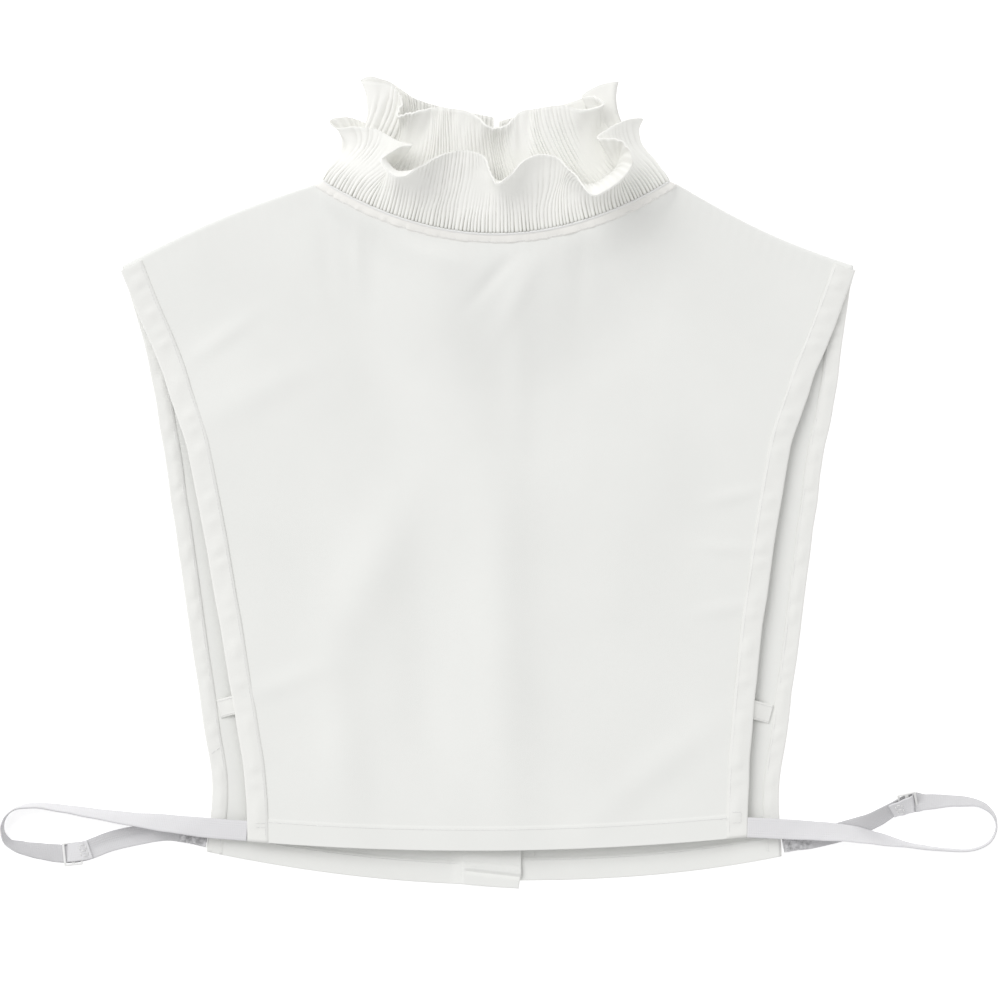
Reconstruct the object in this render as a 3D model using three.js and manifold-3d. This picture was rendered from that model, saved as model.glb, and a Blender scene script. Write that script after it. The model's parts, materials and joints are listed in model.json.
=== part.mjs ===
// A detachable ruffled collar: a two-tier pleated stand collar on a short bib with a front
// panel, a back in two overlapping halves, bound armhole edges, side tabs and elastic straps.
// It lies on its back. +X runs to the viewer's right, +Y from the hems to the collar, +Z up.
// All sizes are in millimetres and all turns round the neck are in degrees: 0 is the throat,
// 90 the right side and 180 the nape.

import * as THREE from "three";
import { mergeVertices } from "three/addons/utils/BufferGeometryUtils.js";
import Module from "manifold-3d";

const wasm = await Module();
wasm.setup();

// Cloth and the clearances between pieces
const CLOTH = 1.0;
const GAP = 0.3;
const LAYER = CLOTH + GAP;
const SEAM_GAP = 0.5;

// The neck seam, where the frills meet the bib
const NECK = {
  middle: -1.9,
  halfWidth: 85.6,
  top: 150.5,
  frontDip: 26,
  backDip: 15,
  sideHeight: 16,
  frontHeight: 26,
  backHeight: 6,
  roundness: 1.2,
};

// The stitched band below the neck seam
const BAND = {
  width: 5,
  wall: 1.6,
  outward: 0.9,
  shoulderFall: 0.42,
  slope: 0.25,
  end: 179.5,
  columns: 72,
};

// Shoulder tips and how far the shoulder seams bow above a straight line
const TIP = { left: -188.4, right: 176.4, y: 107, frontHeight: 5.1, backHeight: 1.6 };
const SHOULDER_BOW = { left: 2.8, right: -3.4 };
const SHOULDER_DROP = 0.8;

// Outer edges of the cloth panels: x on the left and right at each y, from the tips to the hem
const FRONT_EDGE = [
  { y: 107, left: -188.4, right: 176.4 },
  { y: 89, left: -181.4, right: 169.9 },
  { y: 70, left: -172.9, right: 162.4 },
  { y: 45, left: -163.9, right: 152.9 },
  { y: 20, left: -155.9, right: 144.9 },
  { y: -38, left: -144.4, right: 134.9 },
  { y: -88, left: -135.9, right: 128.4 },
  { y: -148, left: -126.4, right: 123.4 },
  { y: -177, left: -125.2, right: 122.6 },
];
const BACK_EDGE = [
  { y: 107, left: -188.4, right: 176.4 },
  { y: 89, left: -182.2, right: 172.6 },
  { y: 70, left: -176.7, right: 169.8 },
  { y: 45, left: -171.7, right: 166.7 },
  { y: 20, left: -167.7, right: 161.7 },
  { y: -38, left: -158.9, right: 153.2 },
  { y: -78, left: -153.4, right: 148.4 },
  { y: -118, left: -147.4, right: 142.9 },
  { y: -148, left: -143.2, right: 138.9 },
  { y: -182, left: -146.0, right: 140.2 },
];

// Hems: y at the middle, the rise to the corners and how sharply the corners turn up
const FRONT_HEM = { middle: -183, rise: 5.75, tilt: 1.25, halfWidth: 125, power: 2 };
const BACK_HEM_LEFT = { middle: -201, rise: 19, tilt: 0, halfWidth: 146, power: 2.2 };
const BACK_HEM_RIGHT = { middle: -199.3, rise: 13.3, tilt: 0, halfWidth: 140, power: 2.2 };

// Heights of the two layers above the surface that they lie on
const FRONT = {
  edge: 6.5,
  edgeReach: 0.3,
  chest: 6.5,
  hemChest: 3.2,
  flatness: 3.5,
  neckReach: 80,
  widen: 1.8,
  widenWithin: 24,
};
const BACK = { flat: 0.5, rim: 1.6, rimFlat: 13, rimWidth: 18, neckReach: 46 };

// The overlap of the two back halves, and how much lower the upper one's corner hangs
const PLACKET = { left: -19, right: 10, underEdge: -15.5, step: 6, tail: 1.9 };

// Columns of cloth across the top of each panel and along each shoulder, the last shoulder
// column but one just inside the binding, and rows from the top to the hem
const FRONT_NECK_COLUMNS = 20;
const BACK_NECK_COLUMNS = {
  left: [-82, -74, -62, -46, PLACKET.left - PLACKET.step, PLACKET.left, -4, PLACKET.right],
  right: [PLACKET.underEdge, -2, PLACKET.right, 22, 40, 56, 68, 76, 80],
};
const SHOULDER_SHARES = [0, 0.3, 0.6, 0.88, 1];
const FRONT_ROWS = 16;
const BACK_ROWS = 14;
const ROW_CROWDING = 1.35;

// Folded binding round the armhole edges
const BINDING = { width: 9.5, backWidth: 7, leg: 0.7, clear: 0.4, outside: 1.1 };

// Pleated tiers. The free edge passes over each point x, y, and lift is how far it stands
// above the neck seam at that turn, so each row is one crest or hollow of the ruffle.
const OUTER_TIER = { cloth: 40, lean: 1.6, outward: LAYER / 2, columns: 104, rows: 5, end: 179.5 };
const OUTER_FOLDS = [
  { turn: -179.5, x: -3.4, y: 172, lift: -3.5 },
  { turn: -160, x: -19, y: 172.5, lift: -4.5 },
  { turn: -145, x: -35, y: 174.5, lift: -5 },
  { turn: -130, x: -54, y: 176.5, lift: -8 },
  { turn: -118, x: -66, y: 180, lift: -4 },
  { turn: -108, x: -76, y: 183, lift: -5 },
  { turn: -99, x: -84.5, y: 181.5, lift: -2 },
  { turn: -90, x: -82.5, y: 177.5, lift: 0 },
  { turn: -75, x: -69, y: 177, lift: 7 },
  { turn: -60, x: -56, y: 172.5, lift: 13 },
  { turn: -50, x: -62, y: 160, lift: 23 },
  { turn: -40, x: -49.5, y: 150.5, lift: 28 },
  { turn: -24, x: -29, y: 164.5, lift: 11 },
  { turn: -8, x: -9.5, y: 163.5, lift: 10 },
  { turn: 2, x: -0.5, y: 148, lift: 22 },
  { turn: 11, x: 13.5, y: 161.5, lift: 11 },
  { turn: 18, x: 28, y: 162.5, lift: 9 },
  { turn: 25, x: 37, y: 152, lift: 18 },
  { turn: 37, x: 50, y: 142.5, lift: 28 },
  { turn: 49, x: 65.5, y: 159.5, lift: 24 },
  { turn: 57, x: 54.5, y: 172, lift: 18 },
  { turn: 66, x: 48, y: 171.5, lift: 14 },
  { turn: 78, x: 58.5, y: 179, lift: 9 },
  { turn: 90, x: 72.8, y: 181.5, lift: 2 },
  { turn: 102, x: 65, y: 178, lift: -4 },
  { turn: 116, x: 53, y: 179, lift: -4 },
  { turn: 130, x: 46, y: 175, lift: -8 },
  { turn: 145, x: 31, y: 175, lift: -5 },
  { turn: 160, x: 16, y: 172.5, lift: -4.5 },
  { turn: 179.5, x: -0.4, y: 171.5, lift: -3.5 },
];
const INNER_TIER = { cloth: 58, lean: 1.15, outward: -LAYER / 2, columns: 104, rows: 5, end: 179.5 };
const INNER_FOLDS = [
  { turn: -179.5, x: -3.4, y: 183, lift: -1 },
  { turn: -165, x: -20, y: 186.5, lift: 3 },
  { turn: -150, x: -32, y: 189, lift: -1.5 },
  { turn: -135, x: -44, y: 193, lift: 2.5 },
  { turn: -120, x: -54, y: 200, lift: -1 },
  { turn: -105, x: -64, y: 203, lift: 1 },
  { turn: -90, x: -69.5, y: 201, lift: 0 },
  { turn: -80, x: -63, y: 200, lift: 3 },
  { turn: -70, x: -54, y: 198.5, lift: 2 },
  { turn: -60, x: -48.5, y: 191, lift: 4 },
  { turn: -52, x: -51.5, y: 183, lift: 8 },
  { turn: -44, x: -45, y: 184, lift: 9 },
  { turn: -32, x: -34, y: 186.5, lift: 4 },
  { turn: -18, x: -25, y: 186.5, lift: 2 },
  { turn: -8, x: -15, y: 184.5, lift: 4 },
  { turn: -1, x: -7, y: 178, lift: 9 },
  { turn: 7, x: -1.5, y: 177, lift: 6 },
  { turn: 15, x: 4, y: 178.5, lift: 4 },
  { turn: 22, x: 9, y: 184.5, lift: 0 },
  { turn: 32, x: 18, y: 186.5, lift: 2 },
  { turn: 44, x: 30, y: 188, lift: 5 },
  { turn: 54, x: 42.5, y: 186, lift: 7 },
  { turn: 62, x: 52, y: 189, lift: 7 },
  { turn: 69, x: 47, y: 192.5, lift: 5 },
  { turn: 76, x: 41, y: 193.5, lift: 1 },
  { turn: 83, x: 49, y: 198.5, lift: 0 },
  { turn: 90, x: 59, y: 200.5, lift: 0 },
  { turn: 105, x: 52, y: 197, lift: 0 },
  { turn: 120, x: 42, y: 192.5, lift: 3 },
  { turn: 135, x: 32, y: 189.5, lift: -1 },
  { turn: 150, x: 21, y: 187.5, lift: 2 },
  { turn: 165, x: 10, y: 184, lift: -1 },
  { turn: 179.5, x: -0.4, y: 181, lift: -1 },
];
const FRILL_SEAM = 1.2;
const SHARPEST_BEND = 3;

// Elastic straps, from the front hem corner out to the loop and back under to the back hem.
// Roll is how far the band stands up from flat, and rest is the height of its middle.
const STRAP = { width: 10, wall: 1.0, steps: 3 };
const STRAP_LEFT = [
  { x: -127.2, y: -173.2, roll: 0, rest: 6.5 },
  { x: -146, y: -171.6, roll: 8, rest: 6.6 },
  { x: -166, y: -169.4, roll: 30, rest: 6.4 },
  { x: -185, y: -167.2, roll: 52, rest: 5.4 },
  { x: -204.5, y: -164.3, roll: 64, rest: 5.2 },
  { x: -219, y: -162, roll: 72, rest: 5.3 },
  { x: -233.5, y: -160.6, roll: 80, rest: 5.4 },
  { x: -243, y: -162.6, roll: 88, rest: 5.5 },
  { x: -247.6, y: -167.4, roll: 92, rest: 5.5 },
  { x: -248.6, y: -173, roll: 96, rest: 5.5 },
  { x: -245.6, y: -179, roll: 108, rest: 5.3 },
  { x: -238, y: -181.9, roll: 128, rest: 4.6 },
  { x: -229.5, y: -183.4, roll: 152, rest: 3.4 },
  { x: -221, y: -184.5, roll: 180, rest: 2.5 },
  { x: -213.6, y: -184.6, roll: 180, rest: 2.4 },
  { x: -206, y: -183.8, roll: 180, rest: 2.4 },
  { x: -195, y: -178.9, roll: 180, rest: 1.2 },
  { x: -181, y: -176.6, roll: 180, rest: 0.7 },
  { x: -165, y: -178, roll: 180, rest: 0.8 },
  { x: -148.8, y: -180, roll: 180, rest: 1.5 },
];
const STRAP_RIGHT = [
  { x: 124.1, y: -171.4, roll: 0, rest: 6.5 },
  { x: 142, y: -172.3, roll: -6, rest: 6.8 },
  { x: 160, y: -173.3, roll: -20, rest: 7.0 },
  { x: 175, y: -174.6, roll: -36, rest: 6.6 },
  { x: 188, y: -177, roll: -54, rest: 5.6 },
  { x: 206, y: -180.6, roll: -80, rest: 5.5 },
  { x: 222.5, y: -182.6, roll: -86, rest: 5.5 },
  { x: 236, y: -182.6, roll: -88, rest: 5.5 },
  { x: 244.4, y: -178.8, roll: -90, rest: 5.5 },
  { x: 247.8, y: -172, roll: -92, rest: 5.5 },
  { x: 246.4, y: -165.2, roll: -98, rest: 5.5 },
  { x: 240, y: -160, roll: -106, rest: 5.4 },
  { x: 228, y: -158.7, roll: -122, rest: 4.9 },
  { x: 215, y: -158.2, roll: -168, rest: 3.2 },
  { x: 206.6, y: -159.4, roll: -172, rest: 3.2 },
  { x: 198.4, y: -161.6, roll: -172, rest: 3.2 },
  { x: 187, y: -168.2, roll: -180, rest: 1.2 },
  { x: 174, y: -174.8, roll: -180, rest: 0.7 },
  { x: 160, y: -179.6, roll: -180, rest: 0.7 },
  { x: 143.2, y: -181.6, roll: -180, rest: 1.5 },
];

// Strap adjusters: two bars over the elastic, one under it, and a rail at each end
const SLIDER = { bar: 1.1, spread: 4.1, reach: 6.4, rail: 1.2, lift: 1.35 };
const SLIDERS = [
  { name: "slider_left", strap: STRAP_LEFT, row: 14 },
  { name: "slider_right", strap: STRAP_RIGHT, row: 14 },
];

// Short tabs that join the back binding to the front panel's edge
const TABS = [
  { name: "side_tab_left", inner: -121, outer: -151, y: -110.5, lean: -1.5 },
  { name: "side_tab_right", inner: 118, outer: 145, y: -114, lean: -2 },
];
const TAB = { width: 9.5, height: 4.05, steps: 2 };

// One small button under the nape, where the band's two ends meet
const BUTTON = { radius: 5.5, wall: 1.8, rim: 0.5, drop: 0.6, sides: 20 };

const clothWhite = new THREE.MeshStandardMaterial({ color: 0xeeefea, roughness: 0.9, metalness: 0 });
const elasticWhite = new THREE.MeshStandardMaterial({ color: 0xe7e7ea, roughness: 0.75, metalness: 0 });
const plasticWhite = new THREE.MeshStandardMaterial({ color: 0xf3f3f1, roughness: 0.35, metalness: 0 });

// Plain number helpers
function mix(from, to, share) {
  return from + (to - from) * share;
}

function ease(value) {
  const held = Math.min(1, Math.max(0, value));
  return held * held * (3 - 2 * held);
}

function radians(degrees) {
  return (degrees * Math.PI) / 180;
}

// A smooth curve through one column of a table, read against another column
function curveThrough(rows, along, column) {
  const rising = rows[0][along] < rows[rows.length - 1][along];
  const sorted = rising ? rows : [...rows].reverse();
  const places = sorted.map((row) => row[along]);
  const values = sorted.map((row) => row[column]);
  const last = places.length - 1;
  const slopes = places.map((place, index) => {
    const before = Math.max(0, index - 1);
    const after = Math.min(last, index + 1);
    return (values[after] - values[before]) / (places[after] - places[before]);
  });
  return (place) => {
    let index = 0;
    while (index < last - 1 && place > places[index + 1]) index += 1;
    const width = places[index + 1] - places[index];
    const share = Math.min(1, Math.max(0, (place - places[index]) / width));
    const squared = share * share;
    const cubed = squared * share;
    return (
      (2 * cubed - 3 * squared + 1) * values[index] +
      (cubed - 2 * squared + share) * width * slopes[index] +
      (3 * squared - 2 * cubed) * values[index + 1] +
      (cubed - squared) * width * slopes[index + 1]
    );
  };
}

// A closed mesh from its corners and faces, turned so that its faces point out
function closedMesh(corners, faces) {
  let volume = 0;
  for (const [a, b, c] of faces) {
    volume += corners[a].dot(new THREE.Vector3().crossVectors(corners[b], corners[c]));
  }
  const outward = volume > 0 ? faces : faces.map(([a, b, c]) => [a, c, b]);
  const geometry = new THREE.BufferGeometry();
  const positions = corners.flatMap((corner) => [corner.x, corner.y, corner.z]);
  geometry.setAttribute("position", new THREE.Float32BufferAttribute(positions, 3));
  geometry.setIndex(outward.flat());
  return geometry;
}

// The direction square to a grid of points at one of them
function normalAt(grid, row, column) {
  const rows = grid.length - 1;
  const columns = grid[0].length - 1;
  const down = grid[Math.min(rows, row + 1)][column].clone().sub(grid[Math.max(0, row - 1)][column]);
  const across = grid[row][Math.min(columns, column + 1)].clone();
  across.sub(grid[row][Math.max(0, column - 1)]);
  return across.cross(down).normalize();
}

// A cloth wall of even thickness on a grid of points
function clothWall(grid, thickness) {
  const rows = grid.length;
  const columns = grid[0].length;
  const corners = [];
  for (const side of [0.5, -0.5]) {
    for (let row = 0; row < rows; row += 1) {
      for (let column = 0; column < columns; column += 1) {
        const normal = normalAt(grid, row, column);
        corners.push(grid[row][column].clone().addScaledVector(normal, side * thickness));
      }
    }
  }
  const at = (side, row, column) => side * rows * columns + row * columns + column;
  const faces = [];
  for (let row = 0; row < rows - 1; row += 1) {
    for (let column = 0; column < columns - 1; column += 1) {
      for (const side of [0, 1]) {
        const a = at(side, row, column);
        const b = at(side, row, column + 1);
        const c = at(side, row + 1, column + 1);
        const d = at(side, row + 1, column);
        faces.push(...(side === 0 ? [[a, b, c], [a, c, d]] : [[a, c, b], [a, d, c]]));
      }
    }
  }
  const rim = [];
  for (let column = 0; column < columns; column += 1) rim.push([0, column]);
  for (let row = 1; row < rows; row += 1) rim.push([row, columns - 1]);
  for (let column = columns - 2; column >= 0; column -= 1) rim.push([rows - 1, column]);
  for (let row = rows - 2; row > 0; row -= 1) rim.push([row, 0]);
  rim.forEach(([row, column], index) => {
    const [nextRow, nextColumn] = rim[(index + 1) % rim.length];
    const a = at(0, row, column);
    const b = at(0, nextRow, nextColumn);
    const c = at(1, nextRow, nextColumn);
    const d = at(1, row, column);
    faces.push([a, c, b], [a, d, c]);
  });
  return closedMesh(corners, faces);
}

// A solid swept through matching outlines, capped at both ends
function sweep(outlines, flatOutline) {
  const points = flatOutline.length;
  const corners = outlines.flat();
  const faces = [];
  for (let step = 0; step < outlines.length - 1; step += 1) {
    for (let point = 0; point < points; point += 1) {
      const next = (point + 1) % points;
      const a = step * points + point;
      const b = step * points + next;
      const c = b + points;
      const d = a + points;
      faces.push([a, b, c], [a, c, d]);
    }
  }
  const cap = THREE.ShapeUtils.triangulateShape(flatOutline, []);
  const end = (outlines.length - 1) * points;
  for (const [a, b, c] of cap) {
    faces.push([a, c, b], [end + a, end + b, end + c]);
  }
  return closedMesh(corners, faces);
}

// Joins closed geometries into one solid
function joined(geometries) {
  const solids = geometries.map((geometry) => {
    const bare = geometry.clone();
    bare.deleteAttribute("normal");
    bare.deleteAttribute("uv");
    const merged = mergeVertices(bare, 1e-4);
    return new wasm.Manifold(
      new wasm.Mesh({
        numProp: 3,
        vertProperties: new Float32Array(merged.attributes.position.array),
        triVerts: new Uint32Array(merged.index.array),
      }),
    );
  });
  const whole = solids.reduce((sum, solid) => sum.add(solid)).getMesh();
  const geometry = new THREE.BufferGeometry();
  geometry.setAttribute("position", new THREE.BufferAttribute(whole.vertProperties, 3));
  geometry.setIndex(new THREE.BufferAttribute(whole.triVerts, 1));
  return geometry;
}

// The neck seam at a turn, and the directions that the bib and the frills leave it in
function neckSeam(turn) {
  const across = Math.sin(radians(turn));
  const ahead = Math.cos(radians(turn));
  const dip = ahead > 0 ? NECK.frontDip : NECK.backDip;
  const height = ahead > 0 ? NECK.frontHeight : NECK.backHeight;
  return new THREE.Vector3(
    NECK.middle + NECK.halfWidth * across,
    NECK.top - dip * ahead * ahead,
    mix(NECK.sideHeight, height, Math.abs(ahead) ** NECK.roundness),
  );
}

function bibDirection(turn) {
  const across = Math.sin(radians(turn));
  const ahead = Math.cos(radians(turn));
  const fall = Math.abs(ahead) + BAND.shoulderFall * Math.abs(across);
  return new THREE.Vector3(BAND.outward * across, -fall, -BAND.slope).normalize();
}

function outwardFromNeck(turn) {
  const along = neckSeam(turn + 0.5).sub(neckSeam(turn - 0.5));
  return along.cross(new THREE.Vector3(0, 1, 0)).normalize();
}

// The turn at which the seam passes a given x on the back
function turnAt(x) {
  const across = Math.min(1, Math.max(-1, (x - NECK.middle) / NECK.halfWidth));
  return 180 - (Math.asin(across) * 180) / Math.PI;
}

// The point where a panel starts, just below the neck band
function panelNeckPoint(turn) {
  return neckSeam(turn).addScaledVector(bibDirection(turn), BAND.width + SEAM_GAP);
}

const shoulderStart = {
  left: panelNeckPoint(-90),
  right: panelNeckPoint(90),
};

// The top edge of a panel: the shoulder seams and, between them, the neck
function shoulderPoint(side, share, onFront) {
  const start = shoulderStart[side];
  const tip = { x: TIP[side], y: TIP.y, z: onFront ? TIP.frontHeight : TIP.backHeight };
  const startHeight = onFront ? start.z : start.z - LAYER;
  return new THREE.Vector3(
    mix(start.x, tip.x, share),
    mix(start.y, tip.y, share) + SHOULDER_BOW[side] * Math.sin(Math.PI * share),
    mix(startHeight, tip.z, share ** SHOULDER_DROP),
  );
}

function shares(count) {
  return Array.from({ length: count + 1 }, (unused, index) => index / count);
}

function shoulderColumns(side, onFront) {
  return SHOULDER_SHARES.map((share) => ({ point: shoulderPoint(side, share, onFront), turn: 90 }));
}

// Both shoulders read from left to right
function leftShoulder(onFront) {
  return shoulderColumns("left", onFront).reverse();
}

function rightShoulder(onFront) {
  return shoulderColumns("right", onFront);
}

function hemAt(hem, x) {
  const share = x / hem.halfWidth;
  return hem.middle + hem.rise * Math.abs(share) ** hem.power + hem.tilt * share;
}

const frontLeft = curveThrough(FRONT_EDGE, "y", "left");
const frontRight = curveThrough(FRONT_EDGE, "y", "right");
const backLeft = curveThrough(BACK_EDGE, "y", "left");
const backRight = curveThrough(BACK_EDGE, "y", "right");

// Where a column of the front panel has got to, share of the way from its top to the hem
function frontPoint(top, share) {
  const edgeY = mix(TIP.y, FRONT_EDGE[FRONT_EDGE.length - 1].y, share);
  const onLeft = top.point.x < NECK.middle;
  const edge = onLeft ? frontLeft(edgeY) : frontRight(edgeY);
  const tip = onLeft ? TIP.left : TIP.right;
  const side = (top.point.x - NECK.middle) / (tip - NECK.middle);
  const x = mix(NECK.middle, edge, side);
  const hemEdge = onLeft ? frontLeft(FRONT_EDGE.at(-1).y) : frontRight(FRONT_EDGE.at(-1).y);
  const y = mix(top.point.y, hemAt(FRONT_HEM, mix(NECK.middle, hemEdge, side)), share);
  return new THREE.Vector3(x, y, frontHeight(top, side, share, top.point.y - y));
}

function frontHeight(top, side, share, drop) {
  const edge = mix(TIP.frontHeight, FRONT.edge, ease(share / FRONT.edgeReach));
  const crown = mix(FRONT.chest, FRONT.hemChest, ease(share));
  const body = edge + crown * (1 - Math.abs(side) ** FRONT.flatness);
  const ahead = Math.cos(radians(top.turn));
  const power = NECK.roundness + FRONT.widen * ease(drop / FRONT.widenWithin);
  const spread = (NECK.frontHeight - NECK.sideHeight) * (ahead ** power - ahead ** NECK.roundness);
  return mix(top.point.z + spread, body, ease(drop / FRONT.neckReach));
}

// The same for a back half, whose columns under the placket run straight down
function backPoint(top, share) {
  const edgeY = mix(TIP.y, BACK_EDGE[BACK_EDGE.length - 1].y, share);
  const inner = top.half === "left" ? PLACKET.left : PLACKET.right;
  const edgeCurve = top.half === "left" ? backLeft : backRight;
  const hem = top.half === "left" ? BACK_HEM_LEFT : BACK_HEM_RIGHT;
  const tip = top.half === "left" ? TIP.left : TIP.right;
  const side = Math.max(0, (top.point.x - inner) / (tip - inner));
  const x = side > 0 ? mix(inner, edgeCurve(edgeY), side) : top.point.x;
  const hemX = side > 0 ? mix(inner, edgeCurve(BACK_EDGE.at(-1).y), side) : top.point.x;
  const past = Math.max(0, (x - PLACKET.left) / (PLACKET.right - PLACKET.left));
  const tail = top.half === "left" ? PLACKET.tail * past : 0;
  const y = mix(top.point.y, hemAt(hem, hemX) - tail, share);
  return new THREE.Vector3(x, y, backHeight(top, x, y, edgeCurve(edgeY)));
}

function backHeight(top, x, y, edge) {
  const rim = 1 - ease((Math.abs(x - edge) - BACK.rimFlat) / BACK.rimWidth);
  const body = mix(BACK.flat, BACK.rim, rim);
  const drop = top.point.y - y;
  const over = top.half === "left" ? ease((x - PLACKET.left + PLACKET.step) / PLACKET.step) : 0;
  return mix(top.point.z, body, ease(drop / BACK.neckReach)) + LAYER * over;
}

// Rows crowd towards the neck, where the cloth bends most
function rowShares(count) {
  return shares(count).map((share) => share ** ROW_CROWDING);
}

function makeFrontPanel() {
  const neck = shares(FRONT_NECK_COLUMNS).map((share) => {
    const turn = mix(-90, 90, share);
    return { point: panelNeckPoint(turn), turn };
  });
  const top = [...leftShoulder(true).slice(0, -1), ...neck, ...rightShoulder(true).slice(1)];
  const grid = rowShares(FRONT_ROWS).map((share) => top.map((column) => frontPoint(column, share)));
  return clothWall(grid, CLOTH);
}

function backNeckPoint(x) {
  return panelNeckPoint(turnAt(x));
}

function makeBackPanel(half) {
  const neck = BACK_NECK_COLUMNS[half].map((x) => ({ point: backNeckPoint(x), turn: turnAt(x) }));
  const top = half === "left" ? [...leftShoulder(false), ...neck] : [...neck, ...rightShoulder(false)];
  const columns = top.map((column) => ({ ...column, half }));
  const grid = rowShares(BACK_ROWS).map((share) => columns.map((column) => backPoint(column, share)));
  return clothWall(grid, CLOTH);
}

function makeNeckBand() {
  const grid = shares(2).map((share) =>
    shares(BAND.columns).map((part) => {
      const turn = mix(-BAND.end, BAND.end, part);
      return neckSeam(turn).addScaledVector(bibDirection(turn), BAND.width * share);
    }),
  );
  return clothWall(grid, BAND.wall);
}

// One pleated tier: it leaves the seam straight and curls over to its free edge
function makeTier(tier, folds) {
  const edgeX = curveThrough(folds, "turn", "x");
  const edgeY = curveThrough(folds, "turn", "y");
  const edgeLift = curveThrough(folds, "turn", "lift");
  const grid = shares(tier.rows).map((share) =>
    shares(tier.columns).map((part) => {
      const turn = mix(-tier.end, tier.end, part);
      const foot = neckSeam(turn).addScaledVector(outwardFromNeck(turn), tier.outward);
      foot.y += FRILL_SEAM;
      const reach = edgeY(turn) - foot.y;
      const bend = Math.min(SHARPEST_BEND, Math.max(1, tier.cloth / reach));
      return new THREE.Vector3(
        mix(foot.x, edgeX(turn), share ** tier.lean),
        foot.y + reach * (1 - (1 - share) ** bend),
        foot.z + edgeLift(turn) * share * share,
      );
    }),
  );
  return clothWall(grid, CLOTH);
}

// Folded binding: a U round the panel's edge, read from the panel's own surface
function makeBinding(surface, rows, width) {
  const inner = -GAP;
  const reach = CLOTH / 2 + BINDING.clear;
  const outline = [
    [width, reach + BINDING.leg],
    [-BINDING.outside, reach + BINDING.leg],
    [-BINDING.outside, -reach - BINDING.leg],
    [width, -reach - BINDING.leg],
    [width, -reach],
    [inner, -reach],
    [inner, reach],
    [width, reach],
  ];
  const flat = outline.map(([across, height]) => new THREE.Vector2(across, height));
  const sections = rowShares(rows).map((share) => {
    const edge = surface(share, 0);
    const inside = surface(share, 1);
    const inward = inside.clone().sub(edge);
    const run = Math.abs(inward.x);
    return outline.map(([across, height]) => {
      const point = edge.clone().addScaledVector(inward, across / run);
      if (across < 0) point.z = edge.z;
      point.z += height;
      return point;
    });
  });
  return sweep(sections, flat);
}

// The panel's surface at its armhole edge (step 0) and a binding's width inside it (step 1)
function armholeSurface(side, onFront, width) {
  const [edgeTop, nextTop] =
    side === "left" ? leftShoulder(onFront).slice(0, 2) : rightShoulder(onFront).slice(-2).reverse();
  const place = onFront ? frontPoint : backPoint;
  return (share, step) => {
    const edge = place({ ...edgeTop, half: side }, share);
    if (step === 0) return edge;
    const next = place({ ...nextTop, half: side }, share);
    return edge.clone().lerp(next, width / Math.abs(next.x - edge.x));
  };
}

// A strap: a flat band along a smooth route, rolled as its table says
function strapCurve(rows) {
  const points = rows.map((row) => new THREE.Vector3(row.x, row.y, row.rest));
  return new THREE.CatmullRomCurve3(points, false, "centripetal");
}

function strapFrame(rows, part) {
  const curve = strapCurve(rows);
  const along = curve.getTangent(part);
  const spot = part * (rows.length - 1);
  const before = Math.min(rows.length - 2, Math.floor(spot));
  const roll = radians(mix(rows[before].roll, rows[before + 1].roll, ease(spot - before)));
  const level = new THREE.Vector3(0, 0, 1).cross(along).normalize();
  const upward = along.clone().cross(level);
  const widthWay = level.clone().multiplyScalar(Math.cos(roll)).addScaledVector(upward, Math.sin(roll));
  return { middle: curve.getPoint(part), widthWay, faceWay: along.clone().cross(widthWay), along };
}

function makeStrap(rows) {
  const half = STRAP.width / 2;
  const wall = STRAP.wall / 2;
  const outline = [[half, wall], [-half, wall], [-half, -wall], [half, -wall]];
  const sections = shares((rows.length - 1) * STRAP.steps).map((part) => {
    const frame = strapFrame(rows, part);
    return outline.map(([across, face]) =>
      frame.middle.clone().addScaledVector(frame.widthWay, across).addScaledVector(frame.faceWay, face),
    );
  });
  return sweep(sections, outline.map(([across, face]) => new THREE.Vector2(across, face)));
}

// An adjuster in its own frame, with the elastic running along X through z = 0
function makeSlider() {
  const length = 2 * (SLIDER.reach + SLIDER.rail / 2);
  const bars = [
    { x: -SLIDER.spread, z: SLIDER.lift },
    { x: 0, z: -SLIDER.lift },
    { x: SLIDER.spread, z: SLIDER.lift },
  ].map((bar) => new THREE.BoxGeometry(SLIDER.bar, length, SLIDER.bar).translate(bar.x, 0, bar.z));
  const railLength = 2 * SLIDER.spread + SLIDER.bar;
  const railHeight = 2 * SLIDER.lift + SLIDER.bar;
  const rails = [-1, 1].map((end) =>
    new THREE.BoxGeometry(railLength, SLIDER.rail, railHeight).translate(0, end * SLIDER.reach, 0),
  );
  return joined([...bars, ...rails]);
}

function sliderGroup(slider) {
  const frame = strapFrame(slider.strap, slider.row / (slider.strap.length - 1));
  const holder = new THREE.Group();
  const upright = frame.faceWay.z < 0 ? -1 : 1;
  const face = frame.faceWay.clone().multiplyScalar(upright);
  const width = face.clone().cross(frame.along);
  const turned = new THREE.Matrix4().makeBasis(frame.along, width, face);
  holder.quaternion.setFromRotationMatrix(turned);
  holder.position.copy(frame.middle);
  holder.add(named(slider.name, makeSlider(), plasticWhite));
  return holder;
}

function makeTab(tab) {
  const grid = [0.5, -0.5].map((side) =>
    shares(TAB.steps).map((share) =>
      new THREE.Vector3(
        mix(tab.outer, tab.inner, share),
        tab.y + side * TAB.width + tab.lean * (share - 0.5),
        TAB.height,
      ),
    ),
  );
  return clothWall(grid, CLOTH);
}

function makeButton() {
  const half = BUTTON.wall / 2;
  const profile = [
    [0, -half],
    [BUTTON.radius - BUTTON.rim, -half],
    [BUTTON.radius, 0],
    [BUTTON.radius - BUTTON.rim, half],
    [0, half],
  ].map(([radius, height]) => new THREE.Vector2(radius, height));
  return new THREE.LatheGeometry(profile, BUTTON.sides).rotateX(Math.PI / 2);
}

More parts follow.
